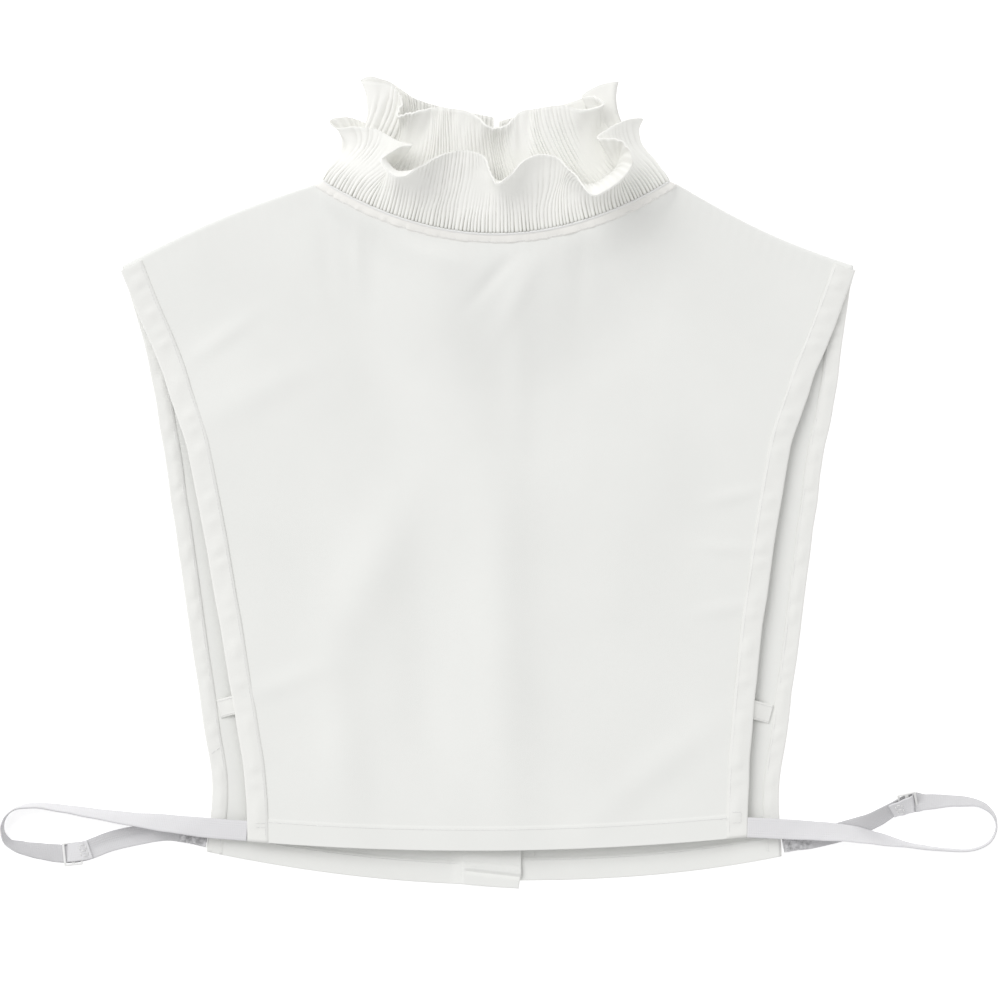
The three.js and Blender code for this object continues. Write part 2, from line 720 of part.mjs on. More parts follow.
function named(name, geometry, material) {
  const mesh = new THREE.Mesh(geometry, material);
  mesh.name = name;
  return mesh;
}

const collar = new THREE.Group();
collar.add(named("front_panel", makeFrontPanel(), clothWhite));
for (const half of ["left", "right"]) {
  collar.add(named(`back_panel_${half}`, makeBackPanel(half), clothWhite));
}
for (const side of ["left", "right"]) {
  const front = armholeSurface(side, true, BINDING.width);
  const back = armholeSurface(side, false, BINDING.backWidth);
  collar.add(named(`binding_front_${side}`, makeBinding(front, FRONT_ROWS, BINDING.width), clothWhite));
  collar.add(named(`binding_back_${side}`, makeBinding(back, BACK_ROWS, BINDING.backWidth), clothWhite));
}
collar.add(named("neck_band", makeNeckBand(), clothWhite));
collar.add(named("frill_outer", makeTier(OUTER_TIER, OUTER_FOLDS), clothWhite));
collar.add(named("frill_inner", makeTier(INNER_TIER, INNER_FOLDS), clothWhite));
collar.add(named("strap_left", makeStrap(STRAP_LEFT), elasticWhite));
collar.add(named("strap_right", makeStrap(STRAP_RIGHT), elasticWhite));
for (const slider of SLIDERS) collar.add(sliderGroup(slider));
for (const tab of TABS) collar.add(named(tab.name, makeTab(tab), clothWhite));

const nape = neckSeam(180).addScaledVector(bibDirection(180), BAND.width / 2);
const button = named("nape_button", makeButton(), plasticWhite);
button.position.set(nape.x, nape.y, nape.z - BAND.wall / 2 - BUTTON.drop - BUTTON.wall / 2);
collar.add(button);

export default collar;
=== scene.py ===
"""Ruffled collar: the looks of a detachable pleated collar on a short bib, built round its frame.

Tables and lengths that describe the garment are in millimetres, and finished meshes are in metres.
Turns round the neck are in degrees: 0 is the throat, 90 the right side and 180 the nape.
"""

import json
import math

import bmesh
import bpy
import numpy as np
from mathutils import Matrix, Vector

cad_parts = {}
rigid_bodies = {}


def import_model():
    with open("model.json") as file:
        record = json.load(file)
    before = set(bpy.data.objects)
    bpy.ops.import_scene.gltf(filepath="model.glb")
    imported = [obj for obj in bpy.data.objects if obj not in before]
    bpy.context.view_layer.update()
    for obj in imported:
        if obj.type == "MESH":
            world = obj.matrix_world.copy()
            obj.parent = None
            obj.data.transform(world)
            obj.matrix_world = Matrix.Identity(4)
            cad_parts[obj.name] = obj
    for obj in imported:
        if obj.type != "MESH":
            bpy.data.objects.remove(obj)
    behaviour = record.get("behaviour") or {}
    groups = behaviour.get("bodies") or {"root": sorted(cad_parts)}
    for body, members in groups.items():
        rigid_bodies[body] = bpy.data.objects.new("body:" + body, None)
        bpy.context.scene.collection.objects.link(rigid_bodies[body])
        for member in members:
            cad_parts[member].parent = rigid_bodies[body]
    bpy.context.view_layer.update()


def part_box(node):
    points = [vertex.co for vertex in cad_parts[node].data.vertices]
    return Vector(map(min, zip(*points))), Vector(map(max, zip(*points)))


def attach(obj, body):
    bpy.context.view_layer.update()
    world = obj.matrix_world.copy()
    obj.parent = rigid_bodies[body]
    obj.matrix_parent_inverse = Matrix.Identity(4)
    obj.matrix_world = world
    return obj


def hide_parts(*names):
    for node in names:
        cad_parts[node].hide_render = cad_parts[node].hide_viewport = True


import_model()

bl_info = {
    "name": "Ruffled collar",
    "version": (1, 0, 0),
    "blender": (4, 5, 0),
    "location": "View3D > Sidebar > Collar",
    "description": "Builds a pleated false collar with its bib, bindings and elastic straps",
    "category": "Add Mesh",
}

MM = 0.001
SIDES = ("left", "right")
UP = np.array([0.0, 0.0, 1.0])


def table(columns, rows):
    """A short table, read by the name of its column."""
    return dict(zip(columns, np.array(rows, float).T))


# The neck seam, where the frills meet the bib
NECK = {
    "middle": -1.9,
    "half_width": 85.6,
    "top": 150.5,
    "front_dip": 26,
    "back_dip": 15,
    "side_height": 16,
    "front_height": 26,
    "back_height": 6,
    "roundness": 1.2,
}

# The band below it: its width, the way it lies, and the turn where it ends beside the nape
BAND = {"width": 5, "outward": 0.9, "shoulder_fall": 0.42, "slope": 0.25, "end": 179.5}

# Shoulder tips and how far the shoulder seams bow above a straight line
TIP = {"left": -188.4, "right": 176.4, "y": 107, "front_height": 5.1, "back_height": 1.1}
SHOULDER_BOW = {"left": 2.8, "right": -3.4}

# How the shoulder seams fall to their tips, and how high the upper layer of cloth lies on the lower
SHOULDER_DROP = 0.8
LAYER = 1.3

# Outer edges of the cloth panels: x on the left and right at each y
FRONT_EDGE = table(("y", "left", "right"), [
    (107, -188.4, 176.4),
    (89, -181.4, 169.9),
    (70, -172.9, 162.4),
    (45, -163.9, 152.9),
    (20, -155.9, 144.9),
    (-38, -144.4, 134.9),
    (-88, -135.9, 128.4),
    (-148, -126.4, 123.4),
    (-177, -125.2, 122.6),
])
BACK_EDGE = table(("y", "left", "right"), [
    (107, -188.4, 176.4),
    (89, -182.2, 172.6),
    (70, -176.7, 169.8),
    (45, -171.7, 166.7),
    (20, -167.7, 161.7),
    (-38, -158.9, 153.2),
    (-78, -153.4, 148.4),
    (-118, -147.4, 142.9),
    (-148, -143.2, 138.9),
    (-182, -146.0, 140.2),
])

# The hems: y in the middle, how far they rise and tilt towards the sides, and the power of the curve
FRONT_HEM = {"middle": -183, "rise": 5.75, "tilt": 1.25, "half_width": 125, "power": 2}
BACK_HEMS = {
    "left": {"middle": -200.3, "rise": 16.4, "tilt": 0, "half_width": 146, "power": 1.9},
    "right": {"middle": -198.2, "rise": 12, "tilt": 0, "half_width": 140, "power": 2.4},
}

# How far a turned hem lifts the cloth, and how soon the cloth comes down above it
HEM_LIFT = {"front": 0.32, "back": 0.42, "blend": 0.8}

# How high the cloth lies: the front at its edge and chest, the back in its middle and at its rim
FRONT = {
    "edge": 6.5, "edge_reach": 0.3, "chest": 6.5, "hem_chest": 1.4,
    "flatness": 3.5, "neck_reach": 80, "widen": 1.8, "widen_within": 24,
}
BACK = {"flat": 0.36, "rim": 1.1, "rim_flat": 13, "rim_width": 18, "neck_reach": 46}

# Columns and rows of the panels: x where a back half's neck edge meets its shoulder seam, columns
# along a shoulder, rows down a panel, rows over its hem, the hem's share, and crowding at the top
BACK_NECK_END = {"left": -84.5, "right": 80.7}
SHOULDER_COLUMNS = 56
PANEL_ROWS = {"front": (146, 36, 0.045), "back": (120, 50, 0.075)}
ROW_SPACING = 1.12

# Relief of the cloth: how the front's creases fade out below the top and at the sides, its ripples,
# the puckers at its neck edge, and the ripples of the back
RELIEF = {"top_fade": 12, "side": 200, "side_fade": 60, "ripple": 0.22}
PUCKER = {"height": 0.10, "turn": 1.9, "fade": 9}
BACK_RELIEF = {"lift": 0.16, "ripple": 0.6, "top_fade": 30}

# The placket: x of the lap's two edges and of the edge under it, the lap's slope, tail and corner
PLACKET = {
    "left": -19, "right": 10, "under_edge": -15.5, "step": 6, "tail": 1.9,
    "corner": 3, "corner_height": 8, "drawn_in": 1.3, "doubled": 0.55,
}

# The ridge pressed across the lap above its hem: y at the lap's left edge, its slope, its crest, the
# hollow below the crest and the fold below that
RIDGE = {
    "y": -191.2, "slope": 0.11, "crest": 0.8, "crest_width": 0.75, "hollow": 0.75,
    "hollow_below": 2.0, "hollow_width": 0.8, "fold": 0.35, "fold_below": 3.2,
}

# Folded bindings: thickness of a leg, crown, lip, and how unevenly the strip wavers and puckers
BINDING = {
    "leg": 0.55, "crown": 0.16, "lip": 0.12, "points": 7, "waver": {"left": 0.25, "right": 0.4},
    "waver_knots": 24, "pucker": (-0.35, 0.85), "pucker_knots": 84,
}

# How far in from its edge each row of stitches is sewn
SEAM_INSET = {"front_hem": 1.0, "back_hem": 0.9, "band": 0.9, "binding": 1.2, "tab": 1.1}

# The pleated tiers. Cloth is the length from the seam to the free edge, outward how far the foot
# stands off the neck seam, and toe how far the cloth starts off inwards. Coarse is the tier's pleats
# for each hundred of the pleats setting, and per pleat the points across one. A lower sharpness makes
# narrower grooves. Edge pleat is how much of the depth is left at the free edge, and shade how dark
# the shade painted into the grooves is.
TIERS = {
    "outer": {
        "cloth": 40, "outward": 0.65, "toe": 0.5, "seed": 5,
        "coarse": 100, "per_pleat": 6, "sharpness": 0.62, "edge_pleat": 0.45, "shade": 1.0,
    },
    "inner": {
        "cloth": 58, "outward": -0.65, "toe": 0.8, "seed": 8,
        "coarse": 78, "per_pleat": 7, "sharpness": 0.8, "edge_pleat": 0.7, "shade": 0.3,
    },
}

# The folds of each tier. The free edge passes over each point x, y. Lift is how far it stands above
# the neck seam at that turn. Lean is how the cloth points there: 0 up the page, 90 at the viewer, more
# back over. Swing turns it within the page, more to the right.
FOLDS = {
    "outer": table(("turn", "x", "y", "lift", "lean", "swing"), [
        (-179.5, -3.4, 172, -3.5, 0, 0),
        (-160, -19, 172.5, -4.5, 0, 0),
        (-145, -35, 174.5, -5, 0, 0),
        (-130, -54, 176.5, -8, 0, -10),
        (-118, -66, 180, -4, 0, -20),
        (-108, -76, 183, -5, 0, -30),
        (-99, -84.5, 181.5, -2, 10, -50),
        (-90, -82.5, 177.5, 0, 20, -50),
        (-78, -71, 177.8, 3, 20, -20),
        (-66, -61, 176, 7, 20, 0),
        (-57, -52.5, 171, 11, 25, 15),
        (-51, -43.5, 168, 14, 30, 25),
        (-47, -50.5, 167, 17, 60, 0),
        (-43.5, -59.5, 160.5, 22, 100, -30),
        (-38, -50.5, 151, 28, 135, 0),
        (-30, -38, 158, 19, 80, 10),
        (-22, -27.5, 164, 11, 30, 0),
        (-8, -9.5, 163.5, 10, 30, 0),
        (2, -0.5, 148, 22, 120, 0),
        (11, 13.5, 161.5, 11, 40, 0),
        (18, 28, 162.5, 9, 40, 0),
        (25, 37, 152, 18, 100, 10),
        (34, 48.5, 142.3, 28, 140, 10),
        (42, 65, 156.5, 25, 110, 35),
        (47, 60, 169.5, 20, 60, 0),
        (53, 48.5, 171.2, 14, 25, -25),
        (64, 55.5, 177.5, 11, 15, 0),
        (77, 64, 181.3, 6, 10, 12),
        (90, 71.3, 181.7, 2, 10, 25),
        (102, 65, 178, -4, 0, 15),
        (116, 53, 179, -4, 0, 0),
        (130, 46, 175, -8, 0, 0),
        (145, 31, 175, -5, 0, 0),
        (160, 16, 172.5, -4.5, 0, 0),
        (179.5, -0.4, 171.5, -3.5, 0, 0),
    ]),
    "inner": table(("turn", "x", "y", "lift", "lean", "swing"), [
        (-179.5, -3.4, 183, -1, 0, 0),
        (-165, -20, 186.5, 3, 0, 0),
        (-150, -32, 189, -1.5, 0, 0),
        (-135, -44, 193, 2.5, 0, -10),
        (-120, -54, 200, -1, 0, -20),
        (-105, -64, 203, 1, 0, -25),
        (-90, -69.3, 201, 0, 0, -30),
        (-80, -63, 200, 3, 10, -12),
        (-70, -54, 198.5, 2, 10, 0),
        (-60, -48.5, 191, 4, 30, 0),
        (-52, -51.5, 183, 8, 80, -20),
        (-44, -45, 184, 9, 60, 0),
        (-32, -34, 186.5, 4, 20, 0),
        (-18, -25, 186.5, 2, 10, 0),
        (-8, -15, 184.5, 4, 20, 0),
        (-1, -7, 178, 9, 60, 0),
        (7, -1.5, 177, 6, 40, 0),
        (15, 4, 178.5, 4, 20, 0),
        (22, 9, 184.5, 0, 0, 0),
        (32, 18, 186.5, 2, 0, 0),
        (44, 30, 188, 5, 10, 0),
        (54, 42.5, 186, 7, 30, 0),
        (62, 52, 189, 7, 40, 15),
        (69, 47, 192.5, 5, 20, -15),
        (76, 41, 193.5, 1, 0, -15),
        (83, 49, 198.5, 0, 0, 0),
        (90, 59, 200.5, 0, 0, 15),
        (105, 52, 197, 0, 0, 10),
        (120, 42, 192.5, 3, 0, 0),
        (135, 32, 189.5, -1, 0, 0),
        (150, 21, 187.5, 2, 0, 0),
        (165, 10, 184, -1, 0, 0),
        (179.5, -0.4, 181, -1, 0, 0),
    ]),
}

# How far up the page both tiers are sewn in, the length round a tier that its ripples are laid out
# on, the cloth between two columns of points, and the rows from the seam to the free edge
FRILL_SEAM = 0.2
RIPPLE_ROUND = 260
CLOTH_STEP = 0.55
TIER_ROWS = 38

# How the pleats wander: shift and depth of each, drift of its line, the patches where the cloth is
# calm and the least depth there, and the wavering of the free edge
PLEATS = {"shift": 0.2, "depth": (0.55, 1.35), "drift": 0.28, "patches": 0.75, "least": 0.06, "waver": 0.5}

# How dark the shade painted into the grooves is, away from the seam and at it
GROOVES = {"dark": 0.32, "dark_at_seam": 2.2, "fade": 0.08, "power": 1.25}

# Soft creases in the front bib: where each one is, the way it runs, how far, and its height. The photo
# shows them as lighter and darker bands, and the light comes from the upper left.
CREASES = table(("x", "y", "turn", "length", "width", "height"), [
    (-26, 70, 102, 62, 19, 3.7),
    (-62, 62, 105, 56, 15, -2.8),
    (1, -80, 93, 84, 14, 3.5),
    (-37, -88, 92, 66, 14, -1.9),
    (9, 62, 90, 48, 7, 0.9),
    (-3, 103, 49, 17, 3.5, -1.1),
    (9, 94, 62, 22, 5, 0.9),
    (-71, 118, 92, 16, 2.6, 0.8),
    (-62, 112, 86, 24, 5, -0.7),
    (-86, 112, 96, 18, 4, -0.6),
    (40, 106, 88, 20, 5, -0.7),
    (-140, 72, 35, 19, 4.5, 1.0),
    (-120, 46, 27, 30, 8, 1.0),
    (-79, -125, 95, 40, 12, 2.0),
    (-64, -44, 64, 44, 14, 2.4),
    (78, -142, 38, 36, 8, 1.1),
    (116, -6, 12, 13, 3.2, 0.7),
    (112, -32, -6, 12, 3, 0.6),
    (113, -62, 8, 14, 3.5, 0.6),
    (70, 20, 80, 60, 26, 1.4),
    (-110, -100, 20, 22, 5, 0.7),
])

# Elastic straps: the route, the band's roll from flat in degrees, and the height of its middle
STRAP = {"width": 10, "wall": 0.9}
STRAPS = {
    "left": table(("x", "y", "roll", "rest"), [
        (-126.2, -173.2, 0, 6.5),
        (-146, -171.6, 8, 6.6),
        (-166, -169.4, 30, 6.4),
        (-185, -167.2, 52, 5.4),
        (-204.5, -164.3, 64, 5.2),
        (-219, -162, 72, 5.3),
        (-233.5, -160.6, 80, 5.4),
        (-243, -162.6, 88, 5.5),
        (-247.6, -167.4, 92, 5.5),
        (-248.6, -173, 96, 5.5),
        (-245.6, -179, 108, 5.3),
        (-238, -181.9, 128, 4.6),
        (-229.5, -183.4, 142, 3.9),
        (-221, -184.5, 154, 3.2),
        (-213.6, -184.6, 164, 2.8),
        (-206, -182.9, 172, 2.4),
        (-195, -178.8, 180, 1.4),
        (-181, -175.6, 180, 0.8),
        (-165, -173.4, 180, 0.8),
        (-146.2, -177.2, 180, 1.3),
    ]),
    "right": table(("x", "y", "roll", "rest"), [
        (123.4, -171.4, 0, 6.5),
        (142, -172.3, -6, 6.8),
        (160, -173.3, -20, 7.0),
        (175, -174.6, -36, 6.6),
        (188, -177, -54, 5.6),
        (206, -180.6, -80, 5.5),
        (222.5, -182.6, -86, 5.5),
        (236, -182.6, -88, 5.5),
        (244.4, -178.8, -90, 5.5),
        (247.8, -172, -92, 5.5),
        (246.4, -165.2, -98, 5.5),
        (240, -160, -106, 5.4),
        (228, -158.4, -120, 4.9),
        (213, -158.9, -140, 4.1),
        (203.8, -159.4, -212, 4.0),
        (196.2, -162.6, -222, 4.0),
        (187, -167.8, -211, 3.1),
        (174, -172.8, -188, 1.4),
        (160, -176.4, -180, 0.8),
        (141.2, -180, -180, 1.3),
    ]),
}

# Places along a strap, counted in rows of its table, and the bar tack on its doubled end
SLIDER_ROW = 14
DOUBLED_FROM = 13.64
DOUBLED_TO = 15.1
TACK = {"along": (6.6, 9.8), "reach": 2.9, "lift": 0.05}

# The doubled end: how much narrower it is, the gap under it, its step over the slider and its rise
DOUBLED = {
    "narrower": 0.4, "gap": 0.15, "over_slider": 1.25, "slider_end": 7.2, "step": 3.5,
    "before": 0.7, "rise": 1.9,
}

# The gathered stretch at a strap's back end: its length, its wrinkles, how it narrows, and how much
# paler its reverse is
GATHER = {
    "reach": 12, "fade": 4, "height": 0.5, "spacing": 2.3, "slant": 0.5,
    "narrower": 0.12, "narrow_reach": 6, "narrow_fade": 9, "paler": 0.8,
}

# Painted highlight: the left strap's reverse is paler along one side between these distances from its end
LIT_REVERSE = {
    "far": 62, "far_fade": 5, "near": 20, "near_fade": 10, "side": 1.5, "side_fade": 3.5, "paler": 0.75,
}

# Moulded pieces. The button's rim, step and circle of holes are shares of its radius.
SLIDER = {
    "plate": (9.4, 11.8, 1.4), "corner": 0.55, "soften": 0.28, "soften_angle": 40,
    "slot": (2.7, 10.4, 4.0), "slot_corner": 0.25, "slots_at": (-2.25, 2.25),
    "lift": 0.85, "outward": {"left": -0.5, "right": 0.7},
}
BUTTON = {
    "rim": 0.22, "step": 0.08, "sunk": 0.25, "hole": 0.75, "hole_circle": 0.26,
    "soften": 0.2, "soften_angle": 30,
}
SMOOTH_ANGLE = 35

# Tabs from the back binding's inner edge to under the front bib: x and y of each end
TABS = {
    "left": {"back": (-140.6, -112.5), "front": (-124, -107.9)},
    "right": {"back": (135.5, -115.1), "front": (120, -111)},
}
TAB = {"width": 9.5, "back_height": 2.0, "front_height": 4.9, "edge": 0.45, "crown": 0.12}

# Thread of a stitch: its share of the spacing, the height of its middle, its rounded ends, and the
# radius of fine and of heavy thread
STITCH = {
    "sides": 6, "share": 0.86, "lift": 0.05, "inset": 0.07, "end_from": 0.4, "end_within": 0.14,
    "end_pull": 1.12, "fine": 0.15, "heavy": 0.3,
}

# Short rows of stitches sewn through a piece: points in a row and their height above the piece, then
# for each row the piece, and the x and y of both ends
MARK = {"points": 8, "lift": 0.05}
MARKS = (
    ("edge_front_left", -122.5, -169.2, -117, -169.2),
    ("edge_front_left", -122.5, -171.4, -117, -171.4),
    ("edge_front_right", 115.8, -163.7, 120.2, -163.7),
    ("edge_front_right", 120.2, -163.9, 120.2, -169),
    ("edge_front_right", 115.8, -169, 120.2, -169),
    ("bib_front", 108.5, -167.2, 114.5, -167.6),
    ("edge_back_left", -144.4, -134.9, -139.9, -131.6),
    ("bib_back_right", 17.4, -183.4, 17.4, -187),
)

# The stage, in metres: the floor, a soft sun from the upper left and a long lens straight above
FLOOR_SIZE = 12
SUN = {"place": (-0.62, 0.7, 1.0), "strength": 1.15, "spread": 40}
SKY_STRENGTH = 0.70
CAMERA = {"lens": 300, "sensor": 36, "middle": (0.0, -0.008), "across": 0.5, "clip_end": 50}


# Number helpers

def ease(value):
    held = np.clip(value, 0, 1)
    return held * held * (3 - 2 * held)


def mix(start, end, share):
    return start + (end - start) * share


def unit(vectors):
    return vectors / np.maximum(np.linalg.norm(vectors, axis=-1, keepdims=True), 1e-9)


def points(x, y, z):
    return np.stack(np.broadcast_arrays(x, y, z), axis=-1).astype(float)


def curve_through(rows, along, column):
    """A smooth curve through one column of a table, read against another column."""
    order = np.argsort(rows[along])
    places, values = rows[along][order], rows[column][order]
    last = len(places) - 1
    before = np.maximum(np.arange(last + 1) - 1, 0)
    after = np.minimum(np.arange(last + 1) + 1, last)
    slopes = (values[after] - values[before]) / (places[after] - places[before])

    def read(place):
        index = np.clip(np.searchsorted(places, place) - 1, 0, last - 1)
        width = places[index + 1] - places[index]
        share = np.clip((place - places[index]) / width, 0, 1)
        squared, cubed = share ** 2, share ** 3
        return (
            (2 * cubed - 3 * squared + 1) * values[index]
            + (cubed - 2 * squared + share) * width * slopes[index]
            + (3 * squared - 2 * cubed) * values[index + 1]
            + (cubed - squared) * width * slopes[index + 1]
        )

    return read


def arc_length(line):
    """The distance run along a line of points, at each of them."""
    steps = np.linalg.norm(np.diff(line, axis=0), axis=-1)
    return np.concatenate([[0], np.cumsum(steps)])


def evenly_spaced(places, line, count):
    """Count places along a line, the same distance apart."""
    run = arc_length(line)
    return np.interp(np.linspace(0, run[-1], count), run, places)


def read_along(places, run, line):
    """Points of a line at given distances along it."""
    return np.stack([np.interp(places, run, line[:, axis]) for axis in range(3)], -1)


def uneven(random, count, knots, low, high):
    """Values at count stations that wander between two limits, from a few random knots."""
    return np.interp(np.arange(count), np.linspace(0, count, knots), random.uniform(low, high, knots))


# The garment's surfaces

def neck_seam(turn):
    across, ahead = np.sin(np.radians(turn)), np.cos(np.radians(turn))
    dip = np.where(ahead > 0, NECK["front_dip"], NECK["back_dip"])
    height = np.where(ahead > 0, NECK["front_height"], NECK["back_height"])
    return points(
        NECK["middle"] + NECK["half_width"] * across,
        NECK["top"] - dip * ahead ** 2,
        mix(NECK["side_height"], height, np.abs(ahead) ** NECK["roundness"]),
    )


def bib_direction(turn):
    across, ahead = np.sin(np.radians(turn)), np.cos(np.radians(turn))
    fall = np.abs(ahead) + BAND["shoulder_fall"] * np.abs(across)
    return unit(points(BAND["outward"] * across, -fall, -BAND["slope"]))


def outward_from_neck(turn):
    along = neck_seam(turn + 0.5) - neck_seam(turn - 0.5)
    return unit(np.cross(along, [0.0, 1.0, 0.0]))


def panel_neck_point(turn, below=5.5):
    return neck_seam(turn) + bib_direction(turn) * below


def neck_turns(start, end, count):
    """Turns from start to end, the same distance apart along the seam."""
    turns = np.linspace(start, end, 2000)
    return evenly_spaced(turns, neck_seam(turns), count)


def shoulder_point(side, share, on_front):
    start = panel_neck_point(90.0 if side == "right" else -90.0)
    tip_height = TIP["front_height"] if on_front else TIP["back_height"]
    start_height = start[2] if on_front else start[2] - LAYER
    return points(
        mix(start[0], TIP[side], share),
        mix(start[1], TIP["y"], share) + SHOULDER_BOW[side] * np.sin(np.pi * share),
        mix(start_height, tip_height, share ** SHOULDER_DROP),
    )


def hem_at(hem, x):
    share = x / hem["half_width"]
    return hem["middle"] + hem["rise"] * np.abs(share) ** hem["power"] + hem["tilt"] * share


EDGES = {
    layer: {side: curve_through(rows, "y", side) for side in SIDES}
    for layer, rows in (("front", FRONT_EDGE), ("back", BACK_EDGE))
}


def soft_creases(x, y):
    """How far the front bib's creases lift the cloth at a place."""
    lift = np.zeros(np.broadcast(x, y).shape)
    for index in range(len(CREASES["x"])):
        turn = math.radians(CREASES["turn"][index])
        dx, dy = x - CREASES["x"][index], y - CREASES["y"][index]
        along = (dx * math.cos(turn) + dy * math.sin(turn)) / CREASES["length"][index]
        across = (dy * math.cos(turn) - dx * math.sin(turn)) / CREASES["width"][index]
        lift += CREASES["height"][index] * np.exp(-along ** 2 - across ** 2)
    return lift


def ripples(x, y, seed, height, shortest, longest, count=9):
    """Gentle waves of cloth in many directions."""
    random = np.random.default_rng(seed)
    lift = np.zeros(np.broadcast(x, y).shape)
    for length in np.linspace(shortest, longest, count):
        turn = random.uniform(0, math.pi)
        phase = random.uniform(0, 2 * math.pi)
        way = (x * math.cos(turn) + y * math.sin(turn)) * 2 * math.pi / length
        lift += np.sin(way + phase)
    return lift * height / math.sqrt(count)


def front_point(top, share):
    """Where a column of the front bib has got to, share of the way from its top to the hem."""
    x, y, z, turn = top
    last = FRONT_EDGE["y"][-1]
    edge_y = mix(TIP["y"], last, share)
    on_left = x < NECK["middle"]
    edge = np.where(on_left, EDGES["front"]["left"](edge_y), EDGES["front"]["right"](edge_y))
    hem_edge = np.where(on_left, EDGES["front"]["left"](last), EDGES["front"]["right"](last))
    tip = np.where(on_left, TIP["left"], TIP["right"])
    side = (x - NECK["middle"]) / (tip - NECK["middle"])
    place_x = mix(NECK["middle"], edge, side)
    place_y = mix(y, hem_at(FRONT_HEM, mix(NECK["middle"], hem_edge, side)), share)
    drop = y - place_y
    rim = mix(TIP["front_height"], FRONT["edge"], ease(share / FRONT["edge_reach"]))
    crown = mix(FRONT["chest"], FRONT["hem_chest"], ease(share))
    body = rim + crown * (1 - np.abs(side) ** FRONT["flatness"])
    ahead = np.maximum(np.cos(np.radians(turn)), 0)
    power = NECK["roundness"] + FRONT["widen"] * ease(drop / FRONT["widen_within"])
    spread = (NECK["front_height"] - NECK["side_height"]) * (ahead ** power - ahead ** NECK["roundness"])
    height = mix(z + spread, body, ease(drop / FRONT["neck_reach"]))
    return points(place_x, place_y, height)


def back_point(top, share, half):
    """The same for a back half, whose columns under the placket run straight down."""
    x, y, z, _ = top
    last = BACK_EDGE["y"][-1]
    inner = PLACKET["left"] if half == "left" else PLACKET["right"]
    edge_curve, hem = EDGES["back"][half], BACK_HEMS[half]
    edge = edge_curve(mix(TIP["y"], last, share))
    side = np.maximum(0, (x - inner) / (TIP[half] - inner))
    place_x = np.where(side > 0, mix(inner, edge, side), x)
    hem_x = np.where(side > 0, mix(inner, edge_curve(last), side), x)
    past = np.maximum(0, (place_x - PLACKET["left"]) / (PLACKET["right"] - PLACKET["left"]))
    tail = PLACKET["tail"] * past if half == "left" else 0
    place_y = mix(y, hem_at(hem, hem_x) - tail, share)
    rim = 1 - ease((np.abs(place_x - edge) - BACK["rim_flat"]) / BACK["rim_width"])
    body = mix(BACK["flat"], BACK["rim"], rim)
    height = mix(z, body, ease((y - place_y) / BACK["neck_reach"]))
    if half == "left":
        height = height + LAYER * ease((place_x - PLACKET["left"] + PLACKET["step"]) / PLACKET["step"])
    return points(place_x, place_y, height)


def shoulder_columns(side, on_front, share):
    spot = shoulder_point(side, share, on_front)
    return spot[..., 0], spot[..., 1], spot[..., 2], np.full(np.shape(share), 90.0)


def armhole_edge(side, on_front, share):
    """A panel's armhole edge and the way in from it, a millimetre across, at each share of the way down."""
    edge, inner = (
        front_point(top, share[:, None])[:, 0] if on_front else back_point(top, share[:, None], side)[:, 0]
        for top in (shoulder_columns(side, on_front, np.array([place])) for place in (1.0, 0.88))
    )
    inward = inner - edge
    return edge, inward / np.abs(inward[:, :1])


# Making meshes

def linked(name, data):
    """A new object in the scene."""
    made = bpy.data.objects.new(name, data)
    bpy.context.scene.collection.objects.link(made)
    return made


def mesh_piece(name, corners, quads, smooth_count, uvs, marks=None, caps=()):
    """A mesh piece in metres, from millimetres. Its first faces, smooth_count of them, are shaded smooth."""
    mesh = bpy.data.meshes.new(name)
    mesh.vertices.add(len(corners))
    mesh.vertices.foreach_set("co", (corners * MM).astype(np.float32).ravel())
    order = np.concatenate([quads.ravel(), *caps]).astype(np.int32)
    face_sizes = np.array([4] * len(quads) + [len(cap) for cap in caps])
    mesh.loops.add(len(order))
    mesh.loops.foreach_set("vertex_index", order)
    mesh.polygons.add(len(face_sizes))
    mesh.polygons.foreach_set("loop_start", (np.cumsum(face_sizes) - face_sizes).astype(np.int32))
    mesh.update(calc_edges=True)
    mesh.polygons.foreach_set("use_smooth", np.arange(len(face_sizes)) < smooth_count)
    layer = mesh.uv_layers.new(name="cloth")
    layer.data.foreach_set("uv", (uvs[order] * MM).astype(np.float32).ravel())
    for mark, values in (marks or {}).items():
        attribute = mesh.attributes.new(mark, "FLOAT", "POINT")
        attribute.data.foreach_set("value", values.astype(np.float32))
    mesh.validate()
    return linked(name, mesh)


def surface_normals(grid):
    return unit(np.cross(np.gradient(grid, axis=1), np.gradient(grid, axis=0)))


def cloth_wall(name, grid, thickness, uvs=None, marks=None):
    """A cloth wall on a grid of points. Its thickness may change over the grid."""
    rows, columns = grid.shape[:2]
    count = rows * columns
    offset = surface_normals(grid) * np.broadcast_to(thickness, (rows, columns))[..., None] / 2
    corners = np.concatenate([(grid + offset).reshape(-1, 3), (grid - offset).reshape(-1, 3)])
    index = np.arange(count).reshape(rows, columns)
    front = np.stack([index[:-1, :-1], index[:-1, 1:], index[1:, 1:], index[1:, :-1]], -1).reshape(-1, 4)
    back = front[:, ::-1] + count
    ring = np.concatenate([index[0], index[1:, -1], index[-1, -2::-1], index[-2:0:-1, 0]])
    following = np.roll(ring, -1)
    rim = np.stack([following, ring, ring + count, following + count], -1)
    if uvs is None:
        uvs = np.stack(np.meshgrid(arc_length(grid[rows // 2]), arc_length(grid[:, columns // 2])), -1)
    twice = np.concatenate([uvs.reshape(-1, 2)] * 2)
    return mesh_piece(name, corners, np.concatenate([front, back, rim]), 2 * len(front), twice, marks)


